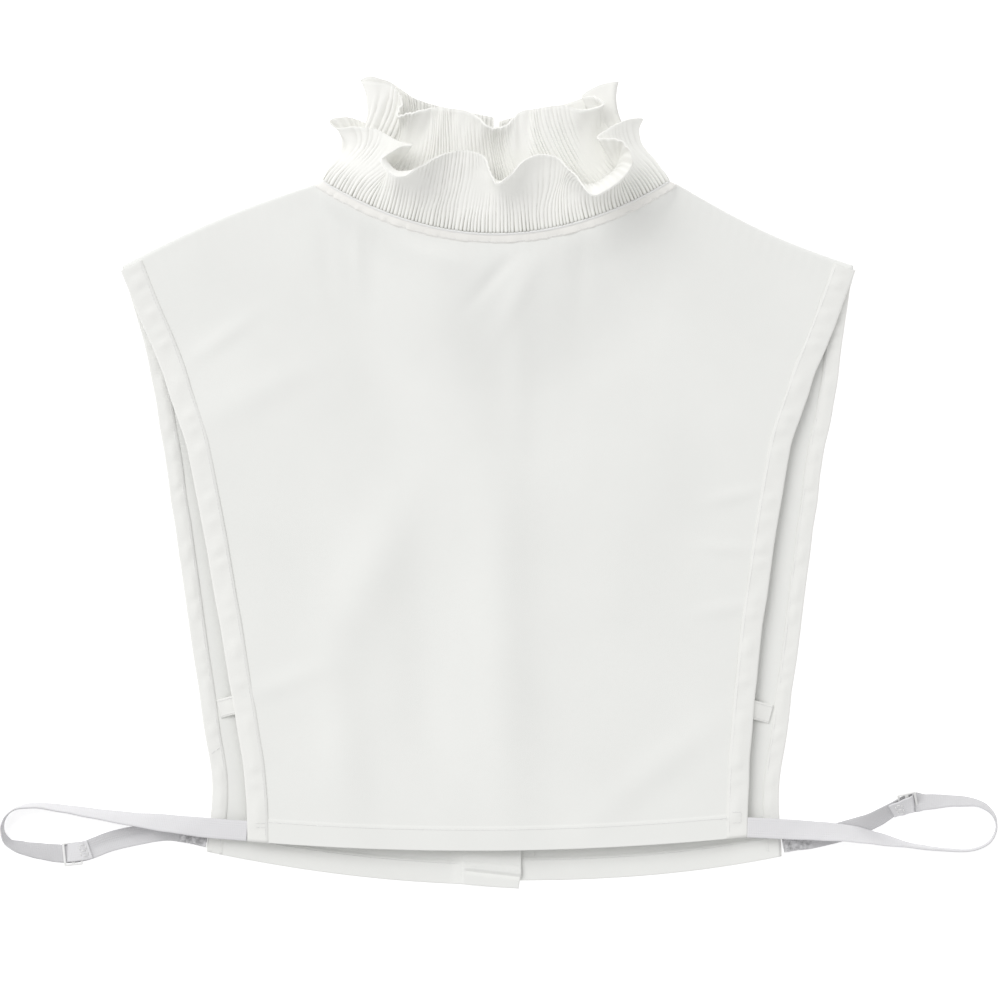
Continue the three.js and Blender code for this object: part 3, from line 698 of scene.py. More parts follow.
def swept(name, origins, across, upward, outline, marks=None):
    """A solid swept along a line: outline points (across, up) at each station, capped at both ends."""
    stations, corners_round = len(origins), outline.shape[-2]
    outline = np.broadcast_to(outline, (stations, corners_round, 2))
    corners = (
        origins[:, None]
        + across[:, None] * outline[..., :1]
        + upward[:, None] * outline[..., 1:]
    ).reshape(-1, 3)
    index = np.arange(stations * corners_round).reshape(stations, corners_round)
    following = np.roll(index, -1, axis=1)
    quads = np.stack([index[:-1], following[:-1], following[1:], index[1:]], -1).reshape(-1, 4)
    caps = [index[0][::-1], index[-1]]
    first, second, third, fourth = (corners[quads[:, corner]] for corner in range(4))
    volume = (first * (np.cross(second, third) + np.cross(third, fourth))).sum()
    if volume < 0:
        quads = quads[:, ::-1]
        caps = [cap[::-1] for cap in caps]
    uvs = np.stack(np.meshgrid(arc_length(outline[0]), arc_length(origins)), -1).reshape(-1, 2)
    spread = {mark: np.broadcast_to(values, index.shape).ravel() for mark, values in (marks or {}).items()}
    return mesh_piece(name, corners, quads, len(quads), uvs, spread, caps)


def rounded(start, end, centre, radius, steps):
    """Outline points round part of a circle, in (across, up), from one angle to another."""
    angles = np.radians(np.linspace(start, end, steps))
    return np.stack([centre[0] + radius * np.cos(angles), centre[1] + radius * np.sin(angles)], -1)


def only_selected(piece):
    for other in bpy.context.scene.objects:
        other.select_set(False)
    piece.select_set(True)
    bpy.context.view_layer.objects.active = piece


def settled(piece):
    """Puts a modelled piece's place and turn into its mesh."""
    only_selected(piece)
    bpy.ops.object.transform_apply(location=True, rotation=True, scale=True)
    return piece


def added(add, name, **options):
    """A new primitive, selected by itself."""
    bpy.ops.object.select_all(action="DESELECT")
    add(**options)
    piece = bpy.context.object
    piece.name = name
    piece.data.name = name
    return piece


def select_in_edit_mode(piece, kind, chosen):
    """Goes into edit mode with only those faces or edges selected that pass a test."""
    bpy.ops.object.mode_set(mode="EDIT")
    bpy.ops.mesh.select_mode(type=kind)
    bpy.ops.mesh.select_all(action="DESELECT")
    edited = bmesh.from_edit_mesh(piece.data)
    for element in edited.faces if kind == "FACE" else edited.edges:
        element.select = chosen(element)
    bmesh.update_edit_mesh(piece.data)


def applied(piece, kind, **settings):
    """Adds a modifier to a piece and applies it."""
    modifier = piece.modifiers.new(kind.lower(), kind)
    for setting, value in settings.items():
        setattr(modifier, setting, value)
    only_selected(piece)
    bpy.ops.object.modifier_apply(modifier=modifier.name)


def cut_out(piece, cutter):
    """Cuts a hole of the cutter's shape, and deletes the cutter."""
    applied(piece, "BOOLEAN", operation="DIFFERENCE", object=cutter)
    bpy.data.objects.remove(cutter)


def softened(piece, width, angle):
    """Rounds a moulding's edges that are sharper than an angle, and shades it smooth."""
    applied(
        piece, "BEVEL", width=width * MM, segments=2, limit_method="ANGLE", angle_limit=math.radians(angle)
    )
    bpy.ops.object.shade_smooth_by_angle(angle=math.radians(SMOOTH_ANGLE))


def finished(piece, finish, slot, *nodes):
    """Gives a piece its material and body, and hides the nodes that it stands for."""
    piece.data.materials.clear()
    piece.data.materials.append(palette()[finish])
    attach(piece, "root")
    if nodes:
        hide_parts(*nodes)
    return piece


# Materials

class Signal:
    """A value in a material. Arithmetic on signals adds the nodes that work it out."""

    def __init__(self, finish, socket):
        self.finish = finish
        self.socket = socket

    def _with(self, operation, first, second):
        return self.finish.node("ShaderNodeMath", {"operation": operation}, {0: first, 1: second})

    def __add__(self, other):
        return self._with("ADD", self, other)

    def __radd__(self, other):
        return self._with("ADD", other, self)

    def __sub__(self, other):
        return self._with("SUBTRACT", self, other)

    def __rsub__(self, other):
        return self._with("SUBTRACT", other, self)

    def __mul__(self, other):
        return self._with("MULTIPLY", self, other)

    def __rmul__(self, other):
        return self._with("MULTIPLY", other, self)


class Finish:
    """A node material as it is put together."""

    def __init__(self, name, **constants):
        self.material = bpy.data.materials.new(name)
        self.material.use_nodes = True
        self.tree = self.material.node_tree
        self.shader = self.tree.nodes["Principled BSDF"]
        for socket, value in constants.items():
            self.shader.inputs[socket.replace("_", " ").title().replace("Ior", "IOR")].default_value = value

    def node(self, kind, settings=None, inputs=None, output=0):
        made = self.tree.nodes.new(kind)
        for setting, value in (settings or {}).items():
            setattr(made, setting, value)
        for socket, value in (inputs or {}).items():
            self.feed(made.inputs[socket], value)
        return Signal(self, made.outputs[output])

    def feed(self, socket, value):
        if isinstance(value, Signal):
            self.tree.links.new(value.socket, socket)
        else:
            socket.default_value = value

    def place(self, of="Object"):
        return self.node("ShaderNodeTexCoord", output=of)

    def noise(self, place, scale, detail=3.0, roughness=0.55):
        return self.node(
            "ShaderNodeTexNoise",
            inputs={"Vector": place, "Scale": scale, "Detail": detail, "Roughness": roughness},
        )

    def parts(self, place):
        """The x, y and z of a place as three signals."""
        split = self.tree.nodes.new("ShaderNodeSeparateXYZ")
        self.feed(split.inputs[0], place)
        return [Signal(self, output) for output in split.outputs]

    def sine(self, value):
        return self.node("ShaderNodeMath", {"operation": "SINE"}, {0: value})

    def mark(self, name):
        return self.node("ShaderNodeAttribute", {"attribute_name": name}, output="Fac")

    def blend(self, first, second, share):
        """A colour between two colours."""
        return self.node(
            "ShaderNodeMix",
            {"data_type": "RGBA"},
            {0: share, 6: colour_value(first), 7: colour_value(second)},
            output=2,
        )

    def relief(self, height, depth, strength=1.0):
        """Raises the surface by a height from 0 to 1, depth metres high."""
        inputs = {"Height": height, "Strength": strength, "Distance": depth}
        self.feed(self.shader.inputs["Normal"], self.node("ShaderNodeBump", inputs=inputs))

    def paint(self, colour):
        self.feed(self.shader.inputs["Base Color"], colour)


def colour_value(value):
    return value if isinstance(value, Signal) else (*value[:3], 1.0)


def darker(colour, share):
    return tuple(part * share for part in colour[:3])


def weave(finish, place, pitch):
    """Threads over and under each other, from 0 to 1, with a pitch in metres."""
    x, y, _ = finish.parts(place)
    turns = 2 * math.pi / pitch
    return finish.sine(x * turns) * finish.sine(y * turns) * 0.5 + 0.5


MATT_COTTON = {"roughness": 0.88, "sheen_weight": 0.12, "sheen_roughness": 0.5, "specular_ior_level": 0.2}


def raised_threads(finish, place, pitch, slubs):
    """Puts a plain weave in relief, a little unevenly."""
    finish.relief(weave(finish, place, pitch) * 0.7 + slubs * 0.6, 0.00006, 0.55)


def cotton(name, colour, pitch=0.0005, mottle=0.09):
    """Plain woven cotton, a little uneven in tone, with its threads in relief."""
    finish = Finish(name, **MATT_COTTON)
    place = finish.place()
    patches = finish.noise(place, 18.0, 4.0)
    slubs = finish.noise(place, 1400.0, 2.0)
    tone = finish.blend(colour, darker(colour, 1 - mottle), patches)
    finish.paint(finish.blend(tone, darker(colour, 0.93), slubs * 0.35))
    raised_threads(finish, place, pitch, slubs)
    return finish.material


def piped(name, colour, edge):
    """The band's cotton, paler along the bead that starts its outline."""
    finish = Finish(name, **MATT_COTTON)
    cloth = finish.place("UV")
    round_bead, _, _ = finish.parts(cloth)
    beyond = finish.node("ShaderNodeMapRange", None, {0: round_bead, 1: 0.0014, 2: 0.0022})
    patches = finish.noise(finish.place(), 60.0, 4.0)
    ground = finish.blend(colour, darker(colour, 0.95), patches)
    finish.paint(finish.blend(edge, ground, beyond))
    raised_threads(finish, cloth, 0.00045, finish.noise(cloth, 1400.0, 2.0))
    return finish.material


def pleated(name, colour):
    """Fine pleated cotton, with shade painted down in its grooves and a faint painted glow."""
    # The faint emission is painted light: the pleated cloth glows a little, which brightens its shaded
    # hollows.
    finish = Finish(
        name, roughness=0.85, sheen_weight=0.1, sheen_roughness=0.5, specular_ior_level=0.2,
        emission_color=(1, 1, 0.98, 1), emission_strength=0.045,
    )
    cloth = finish.place("UV")
    slubs = finish.noise(cloth, 1500.0, 2.0)
    # The groove mark is painted shade: it darkens the colour down in each pleat's groove.
    groove = finish.mark("groove")
    ground = finish.blend(colour, darker(colour, 0.95), slubs * 0.5)
    shade = (colour[0] * 0.46, colour[1] * 0.45, colour[2] * 0.41)
    finish.paint(finish.blend(ground, shade, groove))
    finish.relief(weave(finish, cloth, 0.0005) * 0.6 + slubs * 0.5, 0.00005, 0.4)
    return finish.material


def ribbed_elastic(name, colour):
    """Strap elastic: close ribs across the band, a faint sheen, and painted shade in its gathered crinkles.
    """
    finish = Finish(name, roughness=0.55, sheen_weight=0.25, sheen_roughness=0.4, specular_ior_level=0.35)
    cloth = finish.place("UV")
    across, along, _ = finish.parts(cloth)
    ribs = finish.sine(along * (2 * math.pi / 0.0009)) * 0.5 + 0.5
    wales = finish.sine(across * (2 * math.pi / 0.0011)) * 0.5 + 0.5
    patches = finish.noise(cloth, 60.0, 3.0)
    tone = finish.blend(colour, darker(colour, 0.9), patches)
    # The reverse face is darker. On the left strap the reverse mark is lessened along one side, which is a
    # painted highlight.
    tone = finish.blend(tone, darker(colour, 0.76), finish.mark("reverse"))
    # Painted shade: dark crinkle patches on the gathered end, where the gathered mark is set.
    painted_crinkle_shade = finish.noise(cloth, 380.0, 3.0) * 4.0 - 1.55
    tone = finish.blend(tone, darker(colour, 0.42), finish.mark("gathered") * painted_crinkle_shade)
    finish.paint(finish.blend(tone, darker(colour, 0.86), ribs * 0.25))
    finish.relief(ribs * 0.5 + wales * 0.5, 0.00012, 0.7)
    return finish.material


def sewing_thread(name, colour):
    """Twisted sewing thread."""
    finish = Finish(name, roughness=0.6, sheen_weight=0.2, specular_ior_level=0.3)
    twist = finish.noise(finish.place(), 2500.0, 1.0)
    finish.paint(finish.blend(colour, darker(colour, 0.85), twist))
    finish.relief(twist, 0.00008, 0.5)
    return finish.material


def moulded(name, colour, roughness):
    """Glossy moulded plastic with faint unevenness."""
    finish = Finish(name, roughness=roughness, specular_ior_level=0.5)
    haze = finish.noise(finish.place(), 300.0, 2.0)
    finish.paint(finish.blend(colour, darker(colour, 0.94), haze))
    finish.feed(finish.shader.inputs["Roughness"], haze * 0.12 + roughness)
    finish.relief(haze, 0.00003, 0.3)
    return finish.material


def floor_finish(name, colour):
    """A plain matt sheet of paper."""
    finish = Finish(
        name, roughness=0.95, specular_ior_level=0.1, emission_color=(1, 1, 1, 1), emission_strength=0.4
    )
    grain = finish.noise(finish.place(), 900.0, 2.0)
    finish.paint(finish.blend(colour, darker(colour, 0.997), grain))
    return finish.material


# Settings that a user would change

def colour_setting(name, description, default):
    return bpy.props.FloatVectorProperty(
        name=name, description=description, default=default, size=3, min=0, max=1, subtype="COLOR"
    )


def length_setting(name, description, default, low, high):
    return bpy.props.FloatProperty(
        name=name, description=description, default=default, min=low, max=high,
        unit="LENGTH", subtype="DISTANCE",
    )


class CollarSizes(bpy.types.PropertyGroup):
    """Sizes of the cloth, the pleats and the stitches."""

    cloth: length_setting("Cloth", "Thickness of the bib's cotton", 0.0007, 0.0004, 0.001)
    frill_cloth: length_setting("Frill cloth", "Thickness of the pleated cloth", 0.00042, 0.0003, 0.0008)
    frill_hem: length_setting("Frill hem", "Thickness of the rolled free edge", 0.0008, 0.0004, 0.0012)
    pleats: bpy.props.IntProperty(
        name="Pleats", description="Pleats round the outer tier", default=192, min=60, max=210
    )
    pleat_depth: length_setting("Pleat depth", "Half height of a pleat at the seam", 0.00078, 0.0002, 0.0015)
    hem: length_setting("Front hem", "Depth of the front hem", 0.0114, 0.005, 0.02)
    back_hem: length_setting("Back hem", "Depth of the back hem", 0.0110, 0.005, 0.02)
    binding: length_setting("Binding", "Width of the front binding", 0.0095, 0.006, 0.014)
    back_binding: length_setting("Back binding", "Width of the back binding", 0.007, 0.005, 0.012)
    stitch: length_setting("Stitch", "Length of one stitch", 0.0021, 0.001, 0.004)


class CollarColours(bpy.types.PropertyGroup):
    """Colours of the cloth, the elastic, the plastic and the floor."""

    cotton: colour_setting("Cotton", "Off-white cotton of the bib", (0.908, 0.912, 0.888))
    pleats: colour_setting("Pleated cotton", "Cloth of the two tiers", (0.90, 0.898, 0.868))
    binding: colour_setting("Binding", "Folded edges and tabs", (0.90, 0.90, 0.875))
    band: colour_setting("Neck band", "The stitched band below the frills", (0.925, 0.912, 0.88))
    elastic: colour_setting("Elastic", "Strap elastic", (0.81, 0.805, 0.822))
    plastic: colour_setting("Plastic", "Sliders and button", (0.86, 0.86, 0.85))
    thread: colour_setting("Thread", "Sewing thread", (0.91, 0.91, 0.90))
    floor: colour_setting("Floor", "Surface that the garment lies on", (0.955, 0.955, 0.955))


def sizes():
    """The lengths in millimetres, and the number of pleats."""
    chosen = bpy.context.scene.collar_sizes
    lengths = {name: getattr(chosen, name) / MM for name in CollarSizes.__annotations__ if name != "pleats"}
    return lengths | {"pleats": chosen.pleats}


def colours():
    chosen = bpy.context.scene.collar_colours
    return {name: tuple(getattr(chosen, name)) for name in CollarColours.__annotations__}


# Stitches

def stitch_template(length, radius):
    """One stitch of thread, modelled lying along X, with its middle just above zero height."""
    stitch = added(
        bpy.ops.mesh.primitive_cylinder_add, "stitch",
        vertices=STITCH["sides"], radius=radius * MM, depth=length * MM * STITCH["share"],
    )
    bpy.ops.object.mode_set(mode="EDIT")
    bpy.ops.mesh.select_all(action="SELECT")
    bpy.ops.transform.rotate(value=math.pi / 2, orient_axis="Y", center_override=(0, 0, 0))
    bpy.ops.transform.translate(value=(0, 0, STITCH["lift"] * MM))
    bpy.ops.object.mode_set(mode="OBJECT")
    settled(stitch)
    select_in_edit_mode(stitch, "FACE", lambda face: len(face.verts) == STITCH["sides"])
    bpy.ops.mesh.inset(thickness=STITCH["inset"] * MM)
    bpy.ops.object.mode_set(mode="OBJECT")
    for corner in stitch.data.vertices:
        at_end = abs(corner.co.x) > STITCH["end_from"] * length * MM
        if at_end and math.hypot(corner.co.y, corner.co.z) < STITCH["end_within"] * MM:
            corner.co.x *= STITCH["end_pull"]
    return stitch


def stitches_along(lines, length, radius):
    """Corners and faces of the stitches laid along lines of points with their normals."""
    stitch = stitch_template(length, radius)
    corners = np.array([vertex.co for vertex in stitch.data.vertices]) / MM
    faces = [list(polygon.vertices) for polygon in stitch.data.polygons]
    bpy.data.objects.remove(stitch)
    laid = []
    for line, normals in lines:
        run = arc_length(line)
        count = max(1, int(run[-1] / length))
        middles = (np.arange(count) + 0.5) * run[-1] / count
        first, second = (read_along(middles + way * length * 0.2, run, line) for way in (-1, 1))
        along = unit(second - first)
        upward = read_along(middles, run, normals)
        upward = unit(upward - along * (upward * along).sum(-1, keepdims=True))
        turned = corners @ np.stack([along, np.cross(upward, along), upward], 1)
        laid.extend(turned + ((first + second) / 2)[:, None])
    starts = range(0, len(laid) * len(corners), len(corners))
    return np.concatenate(laid), [[start + corner for corner in face] for start in starts for face in faces]


def stitch_piece(seam, lines):
    """One piece of all the stitches of a seam. Bar tacks have heavier thread."""
    radius = STITCH["heavy"] if seam.startswith("tack") else STITCH["fine"]
    corners, faces = stitches_along(lines, sizes()["stitch"], radius)
    mesh = bpy.data.meshes.new(f"stitches_{seam}")
    mesh.from_pydata((corners * MM).tolist(), [], faces)
    mesh.polygons.foreach_set("use_smooth", np.ones(len(faces), bool))
    return finished(linked(mesh.name, mesh), "thread", "binding")


# Rows of stitches that the pieces ask for as they are made: the seam, its points and their normals
SEWN = []


def sew(seam, line, normals, lift, trim=0):
    """Asks for stitches along a line, lifted along its normals, with a few points left off each end."""
    normals = np.broadcast_to(normals, line.shape)
    kept = slice(trim, len(line) - trim)
    SEWN.append((seam, (line + normals * lift)[kept], normals[kept]))


def line_on_top(piece_name, start_x, start_y, end_x, end_y):
    """A line of points on top of a piece."""
    piece = bpy.data.objects[piece_name]
    line = []
    for x, y in np.linspace((start_x, start_y), (end_x, end_y), MARK["points"]):
        hit, spot, _, _ = piece.ray_cast(Vector((x, y, 100)) * MM, Vector((0, 0, -1)))
        if not hit:
            raise RuntimeError(f"a row of stitches misses {piece_name}")
        line.append([x, y, spot.z / MM])
    return np.array(line)


# Pieces

def joined(*parts):
    """The columns of several stretches of a panel's top, one after another."""
    return tuple(np.concatenate(values) for values in zip(*parts))


def front_top():
    """The columns across the top of the front bib, as arrays of x, y, z and turn."""
    share = np.linspace(0, 1, SHOULDER_COLUMNS)
    turns = neck_turns(-90, 90, 96)
    middle = (*panel_neck_point(turns, below=4.6).T, turns)
    left, right = shoulder_columns("left", True, share[:0:-1]), shoulder_columns("right", True, share[1:])
    return joined(left, middle, right)


def back_top(half):
    """The same for a back half, from its shoulder tip to its edge at the placket."""
    share = np.linspace(0, 1, SHOULDER_COLUMNS)
    if half == "left":
        step = PLACKET["left"] - 2
        x = np.linspace(BACK_NECK_END["left"], step, 40)[:-1]
        x = np.concatenate([x, np.linspace(step, PLACKET["right"], 58)])
    else:
        x = np.linspace(PLACKET["under_edge"], BACK_NECK_END["right"], 60)
    turns = 180 - np.degrees(np.arcsin(np.clip((x - NECK["middle"]) / NECK["half_width"], -1, 1)))
    middle = (*panel_neck_point(turns).T, turns)
    if half == "left":
        return joined(shoulder_columns("left", False, share[::-1]), middle)
    return joined(middle, shoulder_columns("right", False, share))


def rolled_over(grid, fall):
    """A panel with rows above its top edge that turn it over towards the layer behind."""
    angles = np.radians([180, 144, 108, 72, 36])[:, None]
    turned = np.repeat(grid[:1], len(angles), 0)
    turned[..., 1] += 0.5 * fall * np.sin(angles)
    turned[..., 2] -= 0.5 * fall * (1 - np.cos(angles))
    return np.concatenate([turned, grid])


def placket_folds(x, y):
    """The lap's doubled end, with the pressed ridge that crosses it above the hem."""
    past = x - PLACKET["left"]
    above = y - RIDGE["y"] + RIDGE["slope"] * past
    crest = RIDGE["crest"] * np.exp(-(above / RIDGE["crest_width"]) ** 2)
    hollow = RIDGE["hollow"] * np.exp(-((above + RIDGE["hollow_below"]) / RIDGE["hollow_width"]) ** 2)
    fold = RIDGE["fold"] * ease(-(above + RIDGE["fold_below"]) / RIDGE["hollow_width"])
    return ease(past / 0.9) * (PLACKET["doubled"] + (crest - hollow) * ease(past / 3) + fold)


def rounded_corner(grid):
    """Draws the lap's lower corner in, as its fold turns there."""
    x, y = grid[..., 0], grid[..., 1]
    share = ease((x - PLACKET["right"] + PLACKET["corner"]) / PLACKET["corner"])
    grid[..., 0] -= PLACKET["drawn_in"] * share * (1 - ease((y - y[-1:]) / PLACKET["corner_height"]))
    return grid


def above_hem(grid):
    """How far each point of a panel is from the end of its column at the hem."""
    return np.linalg.norm(grid - grid[-1:], axis=-1)


def hem_step(grid, depth, layer):
    """How much a turned hem lifts the cloth, row by row."""
    return HEM_LIFT[layer] * (1 - ease((above_hem(grid) - depth) / HEM_LIFT["blend"]))


def shares_down(rows, hem_rows, hem_share):
    """Shares from a panel's top to its hem, close together over the hem."""
    above = np.linspace(0, 1, rows) ** ROW_SPACING * (1 - hem_share)
    return np.concatenate([above, np.linspace(1 - hem_share, 1, hem_rows + 1)[1:]])


def row_near_hem(grid, depth):
    """A line of points that runs a given depth above the hem."""
    from_hem = above_hem(grid)
    line = []
    for column in range(grid.shape[1]):
        place = np.interp(-depth, -from_hem[:, column], np.arange(len(grid)))
        low = int(min(place, len(grid) - 2))
        line.append(mix(grid[low, column], grid[low + 1, column], place - low))
    return np.array(line)


def make_front():
    """The front bib, with its creases, its puckered neck edge and its hem."""
    size, top = sizes(), front_top()
    grid = front_point(top, shares_down(*PANEL_ROWS["front"])[:, None])
    x, y = grid[..., 0], grid[..., 1]
    below_top = top[1] - y
    from_side = np.abs(x - np.where(x < 0, -RELIEF["side"], RELIEF["side"]))
    inside = ease(below_top / RELIEF["top_fade"]) * ease(from_side / RELIEF["side_fade"])
    lift = soft_creases(x, y) + ripples(x, y, 3, RELIEF["ripple"], 40, 150)
    waves = np.sin(np.arange(len(top[0])) * PUCKER["turn"])
    pucker = PUCKER["height"] * waves * np.exp(-below_top / PUCKER["fade"])
    grid[..., 2] += lift * inside + pucker + hem_step(grid, size["hem"], "front")
    out = np.abs((top[0] - NECK["middle"]) / (TIP["right"] - NECK["middle"]))
    at_tip = TIP["front_height"] - TIP["back_height"]
    fall = mix(LAYER, at_tip, np.clip((out - 0.48) / 0.52, 0, 1)) * (np.abs(top[3]) >= 90)
    sew("front_hem", row_near_hem(grid, size["hem"] - SEAM_INSET["front_hem"]), UP, size["cloth"] / 2, 3)
    piece = cloth_wall("bib_front", rolled_over(grid, fall + 0.02), size["cloth"])
    return finished(piece, "cotton", "cotton", "front_panel")


def make_back(half):
    """One back half, with its hem. The left one laps over the right one at the placket."""
    size, top = sizes(), back_top(half)
    grid = back_point(top, shares_down(*PANEL_ROWS["back"])[:, None], half)
    x, y = grid[..., 0], grid[..., 1]
    seed = 21 if half == "left" else 34
    rippled = 1 + ripples(x, y, seed, BACK_RELIEF["ripple"], 30, 110)
    lift = BACK_RELIEF["lift"] * rippled * ease((top[1] - y) / BACK_RELIEF["top_fade"])
    grid[..., 2] += np.maximum(lift, 0) + hem_step(grid, size["back_hem"], "back")
    if half == "left":
        grid[..., 2] += placket_folds(x, y)
        grid = rounded_corner(grid)
    line = row_near_hem(grid, size["back_hem"] - SEAM_INSET["back_hem"])
    line = line[(line[:, 0] < PLACKET["left"]) | (half == "right")]
    sew(f"back_hem_{half}", line, UP, size["cloth"] / 2, 3)
    piece = cloth_wall(f"bib_back_{half}", grid, size["cloth"])
    return finished(piece, "cotton", "cotton", f"back_panel_{half}")


def binding_outline(width, cloth):
    """A folded strip round an edge, in (across, up): across runs in from the edge."""
    inner = cloth / 2 + 0.05
    outer = inner + BINDING["leg"]
    shares = np.linspace(0, 1, BINDING["points"])
    crown = BINDING["crown"] * np.sin(np.pi * shares)
    lip = width + BINDING["lip"]
    top = np.stack([width * (1 - shares), outer + crown], -1)
    round_out = rounded(90, 270, (0, 0), outer, 9)[1:-1]
    under = np.stack([width * shares, -outer - crown * 0.3], -1)
    lower_lip = [(lip, -outer * 0.8), (width, -inner)]
    round_in = rounded(270, 90, (0, 0), inner, 5)
    upper_lip = [(width, inner), (lip, outer * 0.8)]
    return np.concatenate([top, round_out, under, lower_lip, round_in, upper_lip])


def make_binding(layer, side):
    """A folded binding on one armhole edge, a little uneven in width and puckered by its stitches."""
    size, on_front = sizes(), layer == "front"
    width = size["binding"] if on_front else size["back_binding"]
    edge, inward = armhole_edge(side, on_front, np.linspace(0, 1, 190) ** ROW_SPACING)
    outlines = np.repeat(binding_outline(width, size["cloth"])[None], len(edge), 0)
    random = np.random.default_rng(11 if on_front else 12)
    waver, points_over = BINDING["waver"][side], BINDING["points"]
    outlines[..., 0] += uneven(random, len(edge), BINDING["waver_knots"], -waver, waver)[:, None]
    puckers = uneven(random, len(edge), BINDING["pucker_knots"], *BINDING["pucker"])[:, None]
    outlines[:, :points_over, 1] += puckers * np.sin(np.pi * np.linspace(0, 1, points_over)) ** 2
    piece = swept(f"edge_{layer}_{side}", edge, inward, np.broadcast_to(UP, edge.shape), outlines)
    line = edge + inward * (width - SEAM_INSET["binding"])
    sew(f"{layer}_edge_{side}", line, UP, size["cloth"] / 2 + BINDING["leg"] + 0.08, 2)
    return finished(piece, "binding", "binding", f"binding_{layer}_{side}")


def make_band():
    """The stitched neck band, with a piped bead where the frills are sewn in."""
    turns = neck_turns(-BAND["end"], BAND["end"], 760)
    origins, across = neck_seam(turns), bib_direction(turns)
    upward = unit(np.cross(across, unit(np.gradient(origins, axis=0))))
    upward = upward * np.sign((upward * outward_from_neck(turns)).sum(-1, keepdims=True))
    width, bead_points, face_points = BAND["width"], 8, 7
    bead = rounded(200, 20, (0.1, 0.8), 0.5, bead_points)
    face_x = np.linspace(0.8, width - 0.3, face_points)
    face_up = 0.78 + 0.12 * np.sin(np.pi * (face_x - 0.8) / (width - 1.1))
    under = [(width + 0.05, 0.25), (width, -0.35), (width - 0.6, -0.7), (0.3, -0.7)]
    outline = np.concatenate([bead, np.stack([face_x, face_up], -1), under])
    outlines = np.repeat(outline[None], len(turns), 0)
    gathers = uneven(np.random.default_rng(4), len(turns), 190, -1, 1)
    over_face = slice(bead_points, bead_points + face_points)
    outlines[:, over_face, 1] += gathers[:, None] * np.linspace(0.0, 0.4, face_points)
    outlines[:, :bead_points, 1] += 0.08 * np.roll(gathers, 40)[:, None]
    piece = swept("collar_band", origins, across, upward, outlines)
    sew("band", origins + across * (width - SEAM_INSET["band"]), upward, 0.72, 2)
    return finished(piece, "band", "binding", "neck_band")


def pleat_profile(phase, sharpness):
    """A pleat's height from -1, in the groove, to 1 on the crest."""
    return 2 * np.abs(np.sin(phase / 2)) ** sharpness - 1


def ruffle_surface(tier, folds, turns, share):
    """The smooth surface of a tier: each line of cloth leaves the seam up the page and curls over."""
    foot = neck_seam(turns) + outward_from_neck(turns) * tier["outward"]
    foot[:, 1] += FRILL_SEAM
    x, y, lift, lean, swing = (
        curve_through(folds, "turn", column)(turns) for column in ("x", "y", "lift", "lean", "swing")
    )
    lean, swing = np.radians(lean), np.radians(swing)
    edge = points(x, y, foot[:, 2] + lift)
    gap = np.linalg.norm(edge - foot, axis=-1)
    spare = np.clip(tier["cloth"] - gap, 0, None)
    reach = (tier["cloth"] * 0.36 + spare * 0.12)[:, None]
    start_way = unit(points(-tier["toe"] * np.sin(np.radians(turns)), 1.0, 0.0))
    end_way = points(np.sin(swing), np.cos(lean) * np.cos(swing), np.sin(lean) * np.cos(swing))
    first, second = foot + start_way * reach, edge - end_way * reach
    s = share[:, None, None]
    return (
        foot * (1 - s) ** 3 + 3 * first * s * (1 - s) ** 2 + 3 * second * s ** 2 * (1 - s) + edge * s ** 3
    )


def pleat_field(tier, place, share, pleats):
    """Each pleat's place in its turn, how deep it is and how calm the cloth is round it."""
    random = np.random.default_rng(tier["seed"])
    marks = np.arange(pleats + 1)
    shift = np.interp(place, marks, random.uniform(-PLEATS["shift"], PLEATS["shift"], pleats + 1))
    depth = np.interp(place, marks, random.uniform(*PLEATS["depth"], pleats + 1))
    down = share[:, None] * tier["cloth"]
    ring = place[None, :] * RIPPLE_ROUND / pleats
    drift = ripples(ring, down * 0.35, tier["seed"] + 2, PLEATS["drift"], 7, 30, 8)
    drift = drift * ease(share / 0.35)[:, None]
    phase = 2 * math.pi * (place + shift)[None, :] + 2 * math.pi * drift
    patches = ripples(ring, down * 0.5, tier["seed"] + 1, PLEATS["patches"], 12, 42, 7)
    calm = mix(1.0, np.clip(0.5 - patches, PLEATS["least"], 1.0), ease((share - 0.12) / 0.3)[:, None])
    return phase, depth[None, :] * calm


